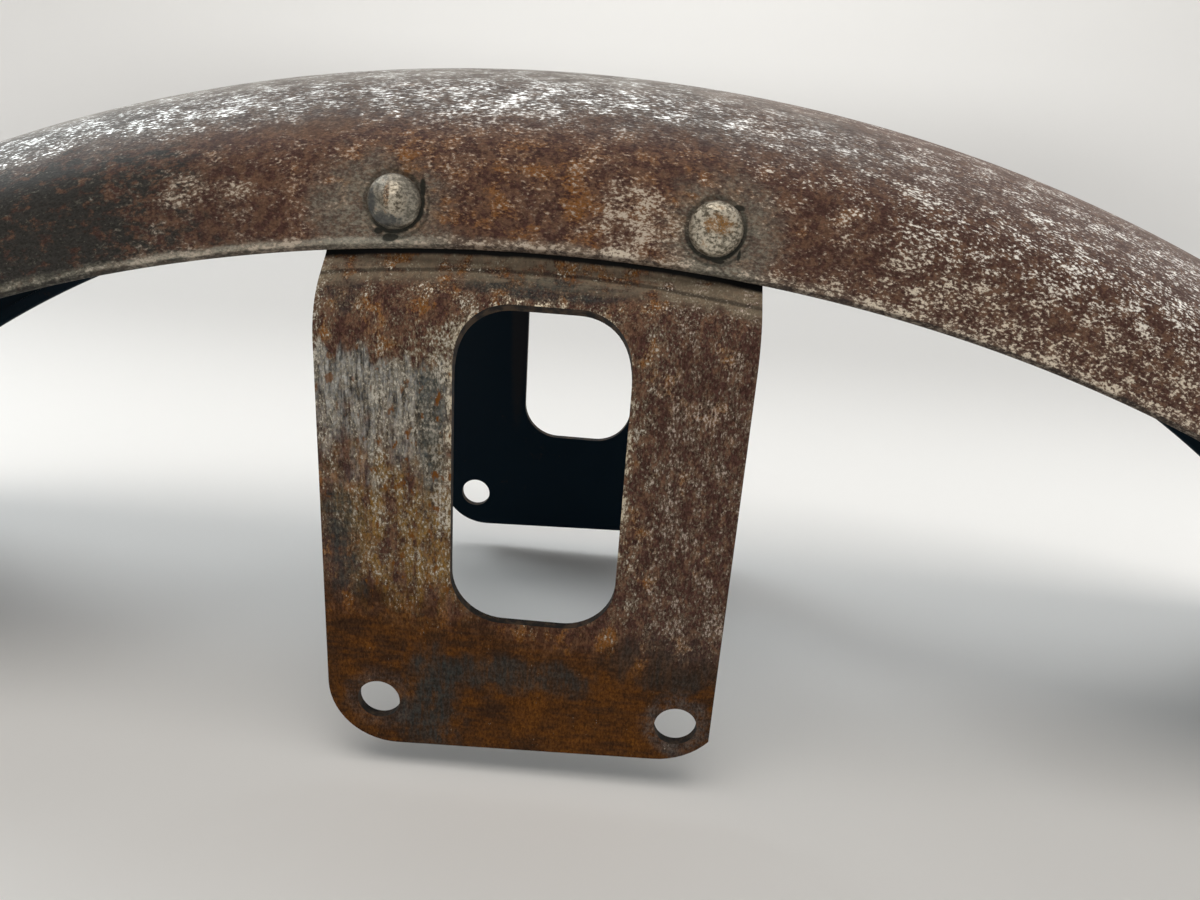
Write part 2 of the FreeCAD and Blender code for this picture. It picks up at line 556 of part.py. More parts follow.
def bolt_holes(body):
    """Two clearance holes, level with each other, for the bolts to the fork."""
    sketch = new_sketch(body, "bolt_holes", "XZ_Plane")
    centre = plate_centre_guide(sketch)
    radius = size("bolt_hole") / 2
    level = number(PLATE_BOTTOM) + size("bolt_height")
    for name, side in (("left", -1), ("right", 1)):
        x = size("plate_offset") + side * number(BOLT_HALF_SPACING)
        hole = sketch.addGeometry(Part.Circle(vector(x, level), FreeCAD.Vector(0, 0, 1), radius))
        ends = (hole, CENTRE, centre, 1) if side < 0 else (centre, 1, hole, CENTRE)
        bind(sketch, name + "_hole", "Dims.bolt_hole / 2", "Radius", hole)
        bind(sketch, name + "_half", BOLT_HALF_SPACING, "DistanceX", *ends)
        bind(sketch, name + "_level", "Dims.bolt_height", "DistanceY", centre, 1, hole, CENTRE)
    return sketch


def trimmed_edge(body):
    """The strip that has been cut off the plate's right edge, through its round corner."""
    sketch = new_sketch(body, "trimmed_edge", "XZ_Plane")
    centre = plate_centre_guide(sketch)
    inner = size("plate_offset") + size("plate_width") / 2 - size("edge_trim")
    outer = inner + size("edge_trim") + size("cut_margin")
    low = number(PLATE_BOTTOM) - size("cut_margin")
    high = number(PLATE_BOTTOM) + size("plate_drop") + size("flange_height") + size("cut_margin")
    corners = [(inner, low), (outer, low), (outer, high), (inner, high)]
    sides = [sketch.addGeometry(line(a, b)) for a, b in zip(corners, corners[1:] + corners[:1])]
    for side, following in zip(sides, sides[1:] + sides[:1]):
        rule(sketch, "Coincident", side, END, following, START)
    for side, way in zip(sides, ("Horizontal", "Vertical", "Horizontal", "Vertical")):
        rule(sketch, way, side)
    bind(sketch, "edge", "Dims.plate_width / 2 - Dims.edge_trim", "DistanceX", centre, 1, sides[0], START)
    bind(sketch, "width", "Dims.edge_trim + Dims.cut_margin", "DistanceX", sides[0], START, sides[0], END)
    bind(sketch, "low", "Dims.cut_margin", "DistanceY", sides[0], START, centre, 1)
    bind(sketch, "high", "Dims.plate_drop + Dims.flange_height + Dims.cut_margin", "DistanceY",
         centre, 1, sides[2], START)
    return sketch


def bracket_near():
    """One stamped plate: the joggled strip, cut to its outline, with window, bolt holes and rivet holes."""
    body = new_body("bracket_near")
    strip = body.newObject("PartDesign::Pad", "joggled_strip")
    strip.Profile = joggled_profile(body)
    strip.SideType = "Symmetric"
    strip.setExpression("Length", "Dims.plate_width")
    body.Tip = strip
    doc.recompute()
    cut_through(body, bottom_outline(body), "bottom_cut")
    cut_through(body, window_outline(body), "window")
    cut_through(body, bolt_holes(body), "bolt_hole_pair")
    cut_through(body, trimmed_edge(body), "edge_cut")
    rivet_holes(body)
    return body


def bracket_far(near):
    """The same stamping, made the other hand."""
    mirrored = doc.addObject("Part::Mirroring", "bracket_far")
    mirrored.Source = near
    mirrored.Normal = FreeCAD.Vector(0, 1, 0)
    doc.recompute()
    return mirrored


def rivets():
    """Four pan-head rivets, each with its tail hammered to a flat button on the flange inside."""
    body = new_body("rivets")
    sketch, axis, seat, outwards, upwards = rivet_sketch(body, "rivet_profile")
    shank, tail = size("shank_diameter") / 2, size("tail_diameter") / 2
    head, flat = size("head_diameter") / 2, size("head_flat") / 2
    under_head, under_tail = size("head_gap"), -number(RIVET_GRIP)
    head_end, tail_end = under_head + size("head_rise"), under_tail - size("tail_rise")

    # each corner as its distance out from the skirt's face and its distance from the rivet's axis
    outline = [(tail_end, 0), (head_end, 0), (head_end, flat), (under_head, head), (under_head, shank),
               (under_tail, shank), (under_tail, tail), (tail_end, tail)]
    corners = [shifted(shifted(seat, outwards, along), upwards, across) for along, across in outline]
    sides = [sketch.addGeometry(line(a, b)) for a, b in zip(corners, corners[1:] + corners[:1])]
    core, head_face, head_side, head_under, shank_side, tail_under, tail_side, tail_face = sides
    for side, following in zip(sides, sides[1:] + sides[:1]):
        rule(sketch, "Coincident", side, END, following, START)
    for side in (head_face, head_under, tail_under, tail_face):
        rule(sketch, "Perpendicular", side, axis)
    for side in (shank_side, tail_side):
        rule(sketch, "Parallel", side, axis)
    rule(sketch, "PointOnObject", core, START, axis)
    rule(sketch, "PointOnObject", core, END, axis)
    bind(sketch, "head_end", "Dims.head_gap + Dims.head_rise", "Distance", core, END, axis, START)
    bind(sketch, "tail_end", RIVET_GRIP + " + Dims.tail_rise", "Distance", core, START, axis, START)
    bind(sketch, "grip", RIVET_GRIP + " + Dims.head_gap", "Distance", shank_side)
    bind(sketch, "tail_rise", "Dims.tail_rise", "Distance", tail_side)
    bind(sketch, "head_flat", "Dims.head_flat / 2", "Distance", head_face)
    bind(sketch, "head", "Dims.head_diameter / 2", "Distance", head_side, END, axis)
    bind(sketch, "shank", "Dims.shank_diameter / 2", "Distance", shank_side, START, axis)
    bind(sketch, "tail", "Dims.tail_diameter / 2", "Distance", tail_face)
    rivet = body.newObject("PartDesign::Revolution", "rivet")
    rivet.Profile = sketch
    rivet.ReferenceAxis = (sketch, ["Axis0"])
    rivet.Angle = 360.0
    doc.recompute()
    second_of_pair(body, sketch, rivet, "rivet_pair")
    mirror_across(body, "far_rivets")
    return body


blade = fender_blade()
near_plate = bracket_near()
pieces = [blade, near_plate, bracket_far(near_plate), rivets()]
doc.recompute()

for item in doc.Objects:
    if "Invalid" in item.State or "Error" in item.State:
        raise RuntimeError(item.Label + " failed: " + ", ".join(item.State))
    if item.isDerivedFrom("Sketcher::SketchObject") and not item.FullyConstrained:
        raise RuntimeError(item.Label + " is not fully constrained")
os.makedirs("parts", exist_ok=True)
for piece in pieces:
    if piece.Shape.isNull() or not piece.Shape.isValid():
        raise RuntimeError(piece.Label + " has no valid shape")
for piece in pieces:
    piece.Shape.exportStep(f"parts/{piece.Label}.step")
    print(piece.Label, len(piece.Shape.Solids), "solids", round(piece.Shape.Volume), "mm3")
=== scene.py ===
import functools
import math

import bmesh
import bpy
from mathutils import Matrix, Vector


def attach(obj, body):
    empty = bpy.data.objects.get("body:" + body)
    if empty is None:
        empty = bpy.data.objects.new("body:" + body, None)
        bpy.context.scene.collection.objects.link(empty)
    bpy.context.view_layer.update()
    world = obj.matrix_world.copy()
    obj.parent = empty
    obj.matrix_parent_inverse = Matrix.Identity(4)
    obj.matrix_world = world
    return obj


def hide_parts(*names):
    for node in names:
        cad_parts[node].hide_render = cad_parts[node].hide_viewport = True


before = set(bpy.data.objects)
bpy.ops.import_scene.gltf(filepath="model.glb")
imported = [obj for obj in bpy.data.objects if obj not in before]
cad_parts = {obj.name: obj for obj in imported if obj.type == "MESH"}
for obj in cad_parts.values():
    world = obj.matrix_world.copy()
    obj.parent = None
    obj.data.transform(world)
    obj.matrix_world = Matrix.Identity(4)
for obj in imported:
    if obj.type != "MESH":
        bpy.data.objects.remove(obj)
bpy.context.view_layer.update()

# BLADE
# One strip of 1 mm sheet steel, pressed to a crowned section and rolled to the wheel's curve. Both lips are
# folded inwards to a closed hem. It carries all the rest, and is drawn in a little round each rivet.
WHEEL_AXIS = Vector((0, 0, -0.208725))
LIP_RADIUS = 0.315
LIP_LEVEL = LIP_RADIUS + WHEEL_AXIS.z
HALF_ARC = math.radians(48.5)
SHEET = 0.001
SKIRT_LEAN = math.radians(8)
SKIRT_HEIGHT = 0.009
SHOULDER_RADIUS = 0.014
CROWN_RISE = 0.0307
HEM_CENTRE = Vector((0.045452, 0.0010479))
HEM_HEIGHT = 0.0034
HEM_SLIT = 0.00018
MERGE_REACH = 0.000004
SMOOTH_ANGLE = math.radians(32)


def new_outline(name, place):
    """A new mesh of one point, left in edit mode, from which an outline is drawn."""
    bpy.ops.object.select_all(action="DESELECT")
    bpy.ops.mesh.primitive_plane_add(size=SHEET)
    piece = bpy.context.object
    piece.name = name
    piece.data.name = name
    bpy.ops.object.mode_set(mode="EDIT")
    bpy.ops.mesh.select_mode(type="VERT")
    bpy.ops.mesh.select_all(action="SELECT")
    bpy.ops.mesh.merge(type="CENTER")
    bpy.ops.transform.translate(value=place)
    return piece


def pen():
    """Where the outline has got to: its one selected point."""
    mesh = bmesh.from_edit_mesh(bpy.context.object.data)
    return next(v.co.copy() for v in mesh.verts if v.select)


def draw_line(target, steps=1):
    step = (target - pen()) / steps
    for _ in range(steps):
        bpy.ops.mesh.extrude_vertices_move(TRANSFORM_OT_translate={"value": step})


def draw_arc(centre, axis, angle, steps):
    bpy.ops.mesh.spin(steps=steps, angle=angle, center=centre, axis=axis, use_auto_merge=False)


def pick(test, kind="faces"):
    """Selects the faces, edges or points that pass the test, and nothing else. Returns how many there are."""
    bpy.ops.mesh.select_mode(type={"faces": "FACE", "edges": "EDGE", "verts": "VERT"}[kind])
    bpy.ops.mesh.select_all(action="DESELECT")
    mesh = bmesh.from_edit_mesh(bpy.context.object.data)
    found = [item for item in getattr(mesh, kind) if test(item)]
    for item in found:
        item.select_set(True)
    mesh.select_flush_mode()
    bmesh.update_edit_mesh(bpy.context.object.data)
    return len(found)


def use_modifier(piece, kind, **settings):
    bpy.ops.object.select_all(action="DESELECT")
    bpy.context.view_layer.objects.active = piece
    piece.select_set(True)
    modifier = piece.modifiers.new(kind.lower(), kind)
    for name, value in settings.items():
        setattr(modifier, name, value)
    bpy.ops.object.modifier_apply(modifier=modifier.name)


def close_up(piece):
    """Merges doubled points and turns every face outwards, then smooths all but the sharp edges."""
    bpy.context.view_layer.objects.active = piece
    bpy.ops.object.mode_set(mode="EDIT")
    bpy.ops.mesh.select_mode(type="VERT")
    bpy.ops.mesh.select_all(action="SELECT")
    bpy.ops.mesh.remove_doubles(threshold=MERGE_REACH)
    bpy.ops.mesh.normals_make_consistent(inside=False)
    bpy.ops.object.mode_set(mode="OBJECT")
    bpy.ops.object.select_all(action="DESELECT")
    piece.select_set(True)
    bpy.ops.object.shade_smooth_by_angle(angle=SMOOTH_ANGLE)


def section_point(out, level):
    """A point of the near half of the section, in the middle of the arc."""
    return Vector((0, -out, LIP_LEVEL + level))


outwards = Vector((math.cos(SKIRT_LEAN), math.sin(SKIRT_LEAN)))
upwards = Vector((-math.sin(SKIRT_LEAN), math.cos(SKIRT_LEAN)))
skirt_foot = HEM_CENTRE + outwards * SHEET
skirt_top = skirt_foot + upwards * ((SKIRT_HEIGHT - skirt_foot.y) / upwards.y)
shoulder = skirt_top - outwards * SHOULDER_RADIUS
crown_drop = CROWN_RISE - shoulder.y
crown_radius = shoulder.x ** 2 + crown_drop ** 2 - SHOULDER_RADIUS ** 2
crown_radius /= 2 * (crown_drop - SHOULDER_RADIUS)
crown = Vector((0, CROWN_RISE - crown_radius))
crown_turn = math.pi / 2 - math.atan2(shoulder.y - crown.y, shoulder.x)
shoulder_turn = math.pi / 2 - crown_turn - SKIRT_LEAN
leaf_top = HEM_CENTRE - outwards * SHEET
leaf_top += upwards * ((HEM_HEIGHT - leaf_top.y) / upwards.y)
slit_top = leaf_top + outwards * (SHEET - HEM_SLIT)
slit_foot = HEM_CENTRE - outwards * HEM_SLIT

near_way = (-1, 0, 0)
blade = new_outline("blade", section_point(0, CROWN_RISE))
draw_arc(section_point(*crown), near_way, crown_turn, 18)
draw_arc(section_point(*shoulder), near_way, shoulder_turn, 12)
draw_line(section_point(*skirt_foot), 7)
draw_arc(section_point(*HEM_CENTRE), near_way, math.pi, 8)
draw_line(section_point(*leaf_top), 2)
draw_line(section_point(*slit_top))
draw_line(section_point(*slit_foot), 2)
draw_line(section_point(*HEM_CENTRE))
draw_line(section_point(*(skirt_top - outwards * SHEET)), 7)
draw_arc(section_point(*shoulder), near_way, -shoulder_turn, 12)
draw_arc(section_point(*crown), near_way, -crown_turn, 18)
bpy.ops.mesh.select_all(action="SELECT")
bpy.ops.mesh.spin(steps=104, angle=HALF_ARC, center=WHEEL_AXIS, axis=(0, 1, 0), use_auto_merge=False)
bpy.ops.object.mode_set(mode="OBJECT")
use_modifier(blade, "MIRROR", use_axis=(True, True, False), merge_threshold=0.00002)
bpy.ops.object.mode_set(mode="EDIT")
for end in (-1, 1):
    pick(lambda edge: edge.is_boundary and edge.verts[0].co.x * end > 0, "edges")
    bpy.ops.mesh.edge_face_add()
bpy.ops.object.mode_set(mode="OBJECT")
close_up(blade)

# where the four rivets sit on the skirts: near left, near right, far left, far right
RIVET_ANGLES = (math.radians(-4.402), math.radians(5.466))
RIVET_LEVEL = 0.008
seat_out = skirt_foot.x + upwards.x * (RIVET_LEVEL - skirt_foot.y) / upwards.y
rivet_seats = []
for side in (-1, 1):
    for angle in RIVET_ANGLES:
        radial = Vector((math.sin(angle), 0, math.cos(angle)))
        place = WHEEL_AXIS + radial * (LIP_RADIUS + RIVET_LEVEL) + Vector((0, side * seat_out, 0))
        square = radial * math.sin(SKIRT_LEAN) + Vector((0, side * math.cos(SKIRT_LEAN), 0))
        rivet_seats.append((place, square))

# the dimple that setting each rivet left: a finer patch of mesh, pushed in under and round the head
DIMPLE_DEPTH = 0.00035
DIMPLE_RADIUS = 0.0054
DIMPLE_RIM = 0.0014
DIMPLE_PATCH = 0.0095
OUTER_SHARE = 0.7
bpy.context.view_layer.objects.active = blade
bpy.ops.object.mode_set(mode="EDIT")
for place, square in rivet_seats:
    def outer_face_near(face):
        away = (face.calc_center_median() - place).length
        return face.normal.dot(square) > OUTER_SHARE and away < DIMPLE_PATCH

    def under_head(vert):
        return vert.normal.dot(square) > OUTER_SHARE and (vert.co - place).length < DIMPLE_RADIUS

    pick(outer_face_near)
    bpy.ops.mesh.subdivide(number_cuts=3)
    pick(under_head, "verts")
    bpy.ops.transform.translate(value=square * -DIMPLE_DEPTH, use_proportional_edit=True,
                                proportional_edit_falloff="SMOOTH", proportional_size=DIMPLE_RIM,
                                use_proportional_connected=True)
bpy.ops.object.mode_set(mode="OBJECT")


class Wire:
    """A socket in a material's node tree. Sums written on wires add Math nodes to the tree."""

    def __init__(self, tree, socket=None):
        self.tree = tree
        self.socket = socket

    def node(self, kind, settings=None, inputs=None, output=0):
        """Adds a node, sets it up, fills or links its inputs, and returns one of its outputs."""
        made = self.tree.nodes.new(kind)
        for name, value in (settings or {}).items():
            setattr(made, name, value)
        for name, value in (inputs or {}).items():
            if isinstance(value, Wire):
                self.tree.links.new(value.socket, made.inputs[name])
            else:
                made.inputs[name].default_value = value
        return Wire(self.tree, made.outputs[output])

    def math(self, operation, *values):
        return self.node("ShaderNodeMath", {"operation": operation}, dict(enumerate(values)))

    def __add__(self, other):
        return self.math("ADD", self, other)

    def __sub__(self, other):
        return self.math("SUBTRACT", self, other)

    def __rsub__(self, other):
        return self.math("SUBTRACT", other, self)

    def __mul__(self, other):
        return self.math("MULTIPLY", self, other)

    def __truediv__(self, other):
        return self.math("DIVIDE", self, other)

    def __abs__(self):
        return self.math("ABSOLUTE", self)

    __radd__ = __add__
    __rmul__ = __mul__

    def step(self, low, high):
        """A soft step from 0 at low to 1 at high, or from 1 to 0 where low is the larger."""
        return self.node("ShaderNodeMapRange", {"interpolation_type": "SMOOTHSTEP"},
                         {"Value": self, "From Min": low, "From Max": high})

    def most(self, other):
        return self.math("MAXIMUM", self, other)

    def clipped(self):
        return self.node("ShaderNodeClamp", None, {"Value": self})


def vector_of(x, y, z):
    return x.node("ShaderNodeCombineXYZ", None, {"X": x, "Y": y, "Z": z})


def noise(place, scale, detail=2.0, rough=0.5, seed=0.0):
    return place.node("ShaderNodeTexNoise", {"noise_dimensions": "4D"},
                      {"Vector": place, "W": seed, "Scale": scale, "Detail": detail, "Roughness": rough})


def mixed(share, first, second):
    """A colour that goes from the first to the second as share goes from 0 to 1."""
    return share.node("ShaderNodeMix", {"data_type": "RGBA"}, {0: share, 6: first, 7: second}, output=2)


def new_material(name):
    """A material with its tree's first wire, its object coordinates and its surface shader."""
    material = bpy.data.materials.new(name)
    material.use_nodes = True
    tree = material.node_tree
    shader = tree.nodes["Principled BSDF"]
    start = Wire(tree)
    place = start.node("ShaderNodeTexCoord", output=3)
    split = [place.node("ShaderNodeSeparateXYZ", None, {"Vector": place}, output=k) for k in range(3)]
    return material, shader, place, split


def dress(shader, **inputs):
    """Links wires, or sets plain values, on the surface shader's own sockets."""
    for name, value in inputs.items():
        socket = shader.inputs[name.replace("_", " ")]
        if isinstance(value, Wire):
            value.tree.links.new(value.socket, socket)
        else:
            socket.default_value = value


def spot(x, z, middle, reach, wobble, soft=0.6):
    """A patch round a middle, as wide and high as reach says, with an uneven rim that is sharp or soft."""
    across = (x - middle[0]) / reach[0]
    up = (z - middle[1]) / reach[1]
    return (across * across + up * up + wobble).step(1 + soft, 1 - soft)


def most_of(marks):
    """The strongest of several marks at each point."""
    return functools.reduce(Wire.most, marks)


def near_side(y):
    return y.step(0.012, -0.012)


MAROON = (0.062, 0.029, 0.022, 1)
BROWN = (0.122, 0.064, 0.040, 1)
ORANGE = (0.195, 0.078, 0.020, 1)
SMOOTH_BROWN = (0.150, 0.085, 0.048, 1)
CHARCOAL = (0.030, 0.028, 0.025, 1)
DARK_FILM = (0.110, 0.110, 0.106, 1)
GREY_FILM = (0.235, 0.218, 0.172, 1)
TAN_FILM = (0.235, 0.158, 0.112, 1)
CROWN_FILM_AND_SHEEN = (0.330, 0.305, 0.275, 1)
RIGHT_FILM = (0.330, 0.252, 0.212, 1)
RIM_SHADE_DARK = (0.014, 0.016, 0.013, 1)
DULL = (0.42, 0.335, 0.265, 1)
DIM = (0.215, 0.205, 0.182, 1)
HEM_GLINT = (0.350, 0.330, 0.270, 1)
CREAM = (0.68, 0.59, 0.47, 1)
PALE_FLECK = (0.88, 0.84, 0.77, 1)
SILVER = (0.93, 0.945, 0.93, 1)

blade_steel, shader, place, (x, y, z) = new_material("blade_steel")
height = z - WHEEL_AXIS.z
radius = x.math("SQRT", x * x + height * height)
level = radius - LIP_RADIUS
along = x.math("ARCTAN2", x, height) * (LIP_RADIUS + SKIRT_HEIGHT)
grain = vector_of(along * 0.60, y, radius)
round_grain = vector_of(along, y, radius)
near = near_side(y)

clump = noise(grain, 330, 3, 0.58, 1.3)
drift = noise(round_grain, 110, 4, 0.62, 7.9)
broad = noise(round_grain, 36, 3, 0.55, 4.2)
wobble = (drift - 0.5) * 5
ragged = (drift - 0.5) * 2 + (clump - 0.5) * 4

left_side = (along + (broad - 0.5) * 0.04).step(-0.040, -0.095)
left_dark = left_side * (level + (drift - 0.5) * 0.01).step(0.0240, 0.0165)
# The crown's shoulder band gets more and brighter silver flecks: partly wear, partly a painted highlight
# standing in for the window's reflection, which is held back towards the right end.
crown_band = (level + (drift - 0.5) * 0.008).step(0.0180, 0.0245)
crown_top = level.step(0.0265, 0.0300)
right_end = (along + (broad - 0.5) * 0.10 + (drift - 0.5) * 0.05).step(0.014, 0.082)
crown_wear_and_highlight = crown_band * (1 - right_end * 0.85)
lip_wear = (level + (drift - 0.5) * 0.0040).step(0.0028, 0.0013) * (1 - right_end * 0.7)
halo = spot(along, level, (-0.0280, 0.0066), (0.0105, 0.0088), ragged, 0.98)
halo = halo.most(spot(along, level, (0.0322, 0.0072), (0.0092, 0.0088), ragged, 0.98)) * near
streak = spot(along, level, (-0.0400, 0.0205), (0.0085, 0.0015), wobble, 0.9) * near
cream = spot(along, level, (0.0185, 0.0065), (0.0105, 0.0060), wobble)
cream = cream.most(spot(along, level, (-0.0600, 0.0115), (0.0090, 0.0022), wobble, 0.9)) * near

lines = noise(vector_of(along * 0.30, y, radius), 2600, 3, 0.64, 6.1)
fleck = noise(grain, 2100, 4, 0.64, 2.7)
fleck = fleck + (lines - fleck) * crown_wear_and_highlight * 0.65
bare = 0.34 + right_end * 0.21 + crown_band * (0.26 - right_end * 0.30) - crown_top * 0.10 + lip_wear * 0.30
bare = bare + cream * 0.26 - halo * 0.10 - left_dark * 0.17 - streak * 0.12 - crown_wear_and_highlight * left_side * 0.04
orange_zone = spot(along, level, (0.0010, 0.0075), (0.0300, 0.0095), wobble, 0.95) * near
bare = bare + orange_zone * 0.07
bare = bare + (broad - 0.5) * (0.6 - right_end * 0.4 - crown_wear_and_highlight * 0.25)
worn = fleck + (clump - 0.5) * (0.50 - crown_wear_and_highlight * 0.20) + (bare - 0.5) * 0.36
film = worn.step(0.42, 0.58)
flecks = worn.step(0.540, 0.650)

# dark marks by the left and the right heads, partly chips and partly painted shadow at their lower and right
# rims: place from the rivet's middle, and reach
GROOVE_RADIUS = 0.0050
SHADOW_ARC_RADIUS = 0.0061
RIVET_CHIPS_AND_SHADOWS = (((-0.0009, -0.0060, 0.0014, 0.0006), (-0.0031, -0.0047, 0.0008, 0.0006),
                (0.0051, 0.0022, 0.0005, 0.0016)),
               ((0.0032, 0.0040, 0.0009, 0.0006), (0.0013, -0.0052, 0.0014, 0.0005),
                (0.0048, -0.0038, 0.0003, 0.0010)))
# A dark ring in the gap round each head, darker on its lower side, and an arc below it: painted shade of the
# recess under the head.
head_rim_shades = []
for angle, chips_and_shadows in zip(RIVET_ANGLES, RIVET_CHIPS_AND_SHADOWS):
    off_x = along - angle * (LIP_RADIUS + SKIRT_HEIGHT)
    off_z = level - RIVET_LEVEL
    away = x.math("SQRT", off_x * off_x + off_z * off_z) + (clump - 0.5) * 0.0010
    under = (off_x * 0.5 - off_z + (drift - 0.5) * 0.02).step(-0.0030, 0.0045)
    head_rim_shades.append(abs(away - GROOVE_RADIUS).step(0.0006, 0.0002) * (0.50 + under * 0.45))
    head_rim_shades.append(abs(away - SHADOW_ARC_RADIUS).step(0.0004, 0.0001) * under * 0.5)
    for aside, above, wide, high in chips_and_shadows:
        head_rim_shades.append(spot(off_x, off_z, (aside, above), (wide, high), ragged * 0.8, 0.5) * 0.9)
head_rim_shade = most_of(head_rim_shades)

orange = drift * 0.7 + clump * 0.9 + fleck * 0.7 - 0.65 + orange_zone * 0.09 - right_end * 0.12
orange = orange - along.step(-0.030, -0.048) * 0.10 - left_dark * 0.05
rust = mixed((noise(round_grain, 520, 5, 0.66, 5.5) - right_end * 0.04).step(0.45, 0.56), MAROON, BROWN)
rust = mixed(orange.step(0.55, 0.68), rust, ORANGE)
rust = mixed(streak * 0.4, rust, SMOOTH_BROWN)
# The left skirt is darkened towards charcoal below the crown, in a mottle.
dark_mottle = (noise(grain, 520, 5, 0.72, 3.3) + left_dark * 0.16).step(0.53, 0.64)
rust = mixed(left_dark.step(0.0, 0.4) * (dark_mottle * 0.80 + 0.20), rust, CHARCOAL)
rust = mixed(crown_wear_and_highlight * (0.45 + left_side * 0.4), rust, DARK_FILM)
# The foot of the hem is darker: partly dark rust, partly painted shade on the roll's underside.
edge_dark = (level + (clump - 0.5) * 0.0010).step(0.0013, 0.0008) * (0.90 + right_end * 0.10)
rust = mixed(edge_dark * 0.85, rust, CHARCOAL)
flecks = flecks * (1 - edge_dark * 0.8)
mottle = (fleck + (clump - 0.5) * 0.8).step(0.36, 0.58)
grey = (halo * 0.7 + lip_wear * (1 - edge_dark) * 0.7).clipped() * (0.35 + mottle * 0.65)
rust = mixed(grey, rust, GREY_FILM)
# A pale line along the hem's rounded edge, a painted highlight where the roll catches light.
hem_highlight = (level + (clump - 0.5) * 0.0014).step(0.0023, 0.0016) * (1 - edge_dark)
hem_highlight = hem_highlight * along.step(-0.014, -0.026) * left_dark.step(0.9, 0.4)
rust = mixed(hem_highlight * 0.7, rust, HEM_GLINT)
shade = noise(grain, 2600, 3, 0.65, 9.1).step(0.30, 0.70)
rust = rust.node("ShaderNodeHueSaturation", None, {"Color": rust, "Value": 0.62 + shade * 0.80})
# A pale grey veil along the crown's top: partly grey film, partly a painted sheen of grazing reflection, less
# towards the right end.
crown_film_and_sheen = crown_top * (1 - right_end * 0.7) * (0.25 + (clump + drift).step(0.7, 1.3) * 0.70)
veil = film * (0.40 - left_dark * 0.08 + cream * 0.3) + crown_film_and_sheen
veil = (veil + crown_band * right_end * 0.12) * (1 - edge_dark * 0.7)
tint = mixed((left_dark + halo).clipped(), TAN_FILM, GREY_FILM)
rust = mixed(veil.clipped(), rust, mixed(crown_band, tint, mixed(right_end, CROWN_FILM_AND_SHEEN, RIGHT_FILM)))
rust = mixed(head_rim_shade, rust, RIM_SHADE_DARK)
flecks = flecks * (1 - head_rim_shade)
bump = place.node("ShaderNodeBump", None,
                  {"Height": fleck + drift * 1.5, "Strength": 0.22, "Distance": 0.0003})
bright = mixed((right_end + cream * 0.5 + lip_wear * 0.4).clipped(), mixed(left_dark, DULL, DIM), CREAM)
bright = mixed(right_end * level.step(0.007, 0.018), bright, PALE_FLECK)
colour = mixed(flecks, rust, mixed(crown_wear_and_highlight, bright, SILVER))
dress(shader, Base_Color=colour, Metallic=flecks * (0.25 + crown_wear_and_highlight * 0.65),
      Roughness=0.66 - flecks * 0.26, Specular_IOR_Level=0.10, Normal=bump)

# inside, old black paint is left on the blade
PAINT = (0.0016, 0.0085, 0.0160, 1)
PAINT_WORN = (0.030, 0.019, 0.013, 1)
black_paint, shader, place, (x, y, z) = new_material("black_paint")
mottle = noise(place, 60, 4, 0.6, 3.1)
pits = noise(place, 800, 2, 0.6, 5.3)
worn = (mottle + (pits - 0.5) * 0.5).step(0.62, 0.80)
rubbed = spot(x, z, (-0.0150, 0.0720), (0.0024, 0.0300), pits - 0.5, 0.6) * y.step(0.0495, 0.0510)
worn = worn.most(rubbed * 0.5)
bump = place.node("ShaderNodeBump", None,
                  {"Height": mottle + pits * 0.25, "Strength": 0.15, "Distance": 0.0004})
dress(shader, Base_Color=mixed(worn * 0.7, PAINT, PAINT_WORN), Roughness=0.30 + worn * 0.3 + pits * 0.1,
      Specular_IOR_Level=0.07, Normal=bump)

blade.data.materials.append(blade_steel)
blade.data.materials.append(black_paint)
for face in blade.data.polygons:
    middle = face.center
    arm = Vector((middle.x, 0, middle.z)) - Vector((WHEEL_AXIS.x, 0, WHEEL_AXIS.z))
    from_axis = arm.normalized()
    outward = from_axis * (arm.length - LIP_RADIUS) + Vector((0, middle.y, 0))
    face.material_index = 0 if face.normal.dot(outward) > 0 else 1
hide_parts("fender_blade")
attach(blade, "root")

# BRACKETS
# Two stamped plates of 2 mm steel, one the mirror image of the other, each with a rounded window and two bolt
# holes. The top is joggled inwards, so that the flange passes inside the hem and is riveted to the skirt.
PLATE = 0.002
PLATE_FACE = 0.0535
PLATE_MIDDLE = 0.003
PLATE_WIDTH = 0.0804
PLATE_BOTTOM = 0.006875
BOTTOM_SLOPE = math.radians(1.95)
CORNER_RADIUS = 0.014
TRIMMED_EDGE = 0.03995
WINDOW_WIDTH = 0.0314
WINDOW_HEIGHT = 0.0607
WINDOW_ABOVE = 0.0296
WINDOW_MIDDLE = PLATE_BOTTOM + WINDOW_ABOVE + WINDOW_HEIGHT / 2
WINDOW_RADIUS = 0.010
WINDOW_RAISE = 0.0039
BOLT_REACH = 0.030
BOLT_ABOVE = 0.0093
BOLT_LEVEL = PLATE_BOTTOM + BOLT_ABOVE
BOLT_RADIUS = 0.00425
BEND_CORNER = Vector((0.0535, 0.096069))
BEND_RADIUS = 0.01379
RETURN_CORNER = Vector((0.044465, 0.103923))
RETURN_RADIUS = 0.002
FLANGE_TOP = Vector((0.042532, 0.117675))
LEG_ANGLE = math.radians(49)
CUT_DEPTH = 0.06
STOCK_TOP = 0.13
EDGE_BREAK = 0.00022
EDGE_ANGLE = math.radians(42)


def plate_point(out_level, inwards=0.0, way=Vector((1, 0))):
    """A point of the near plate's profile, seen along the fender, moved in from its outer face."""
    spot_in = out_level - way * inwards
    return Vector((PLATE_MIDDLE - PLATE_WIDTH / 2, -spot_in.x, spot_in.y))


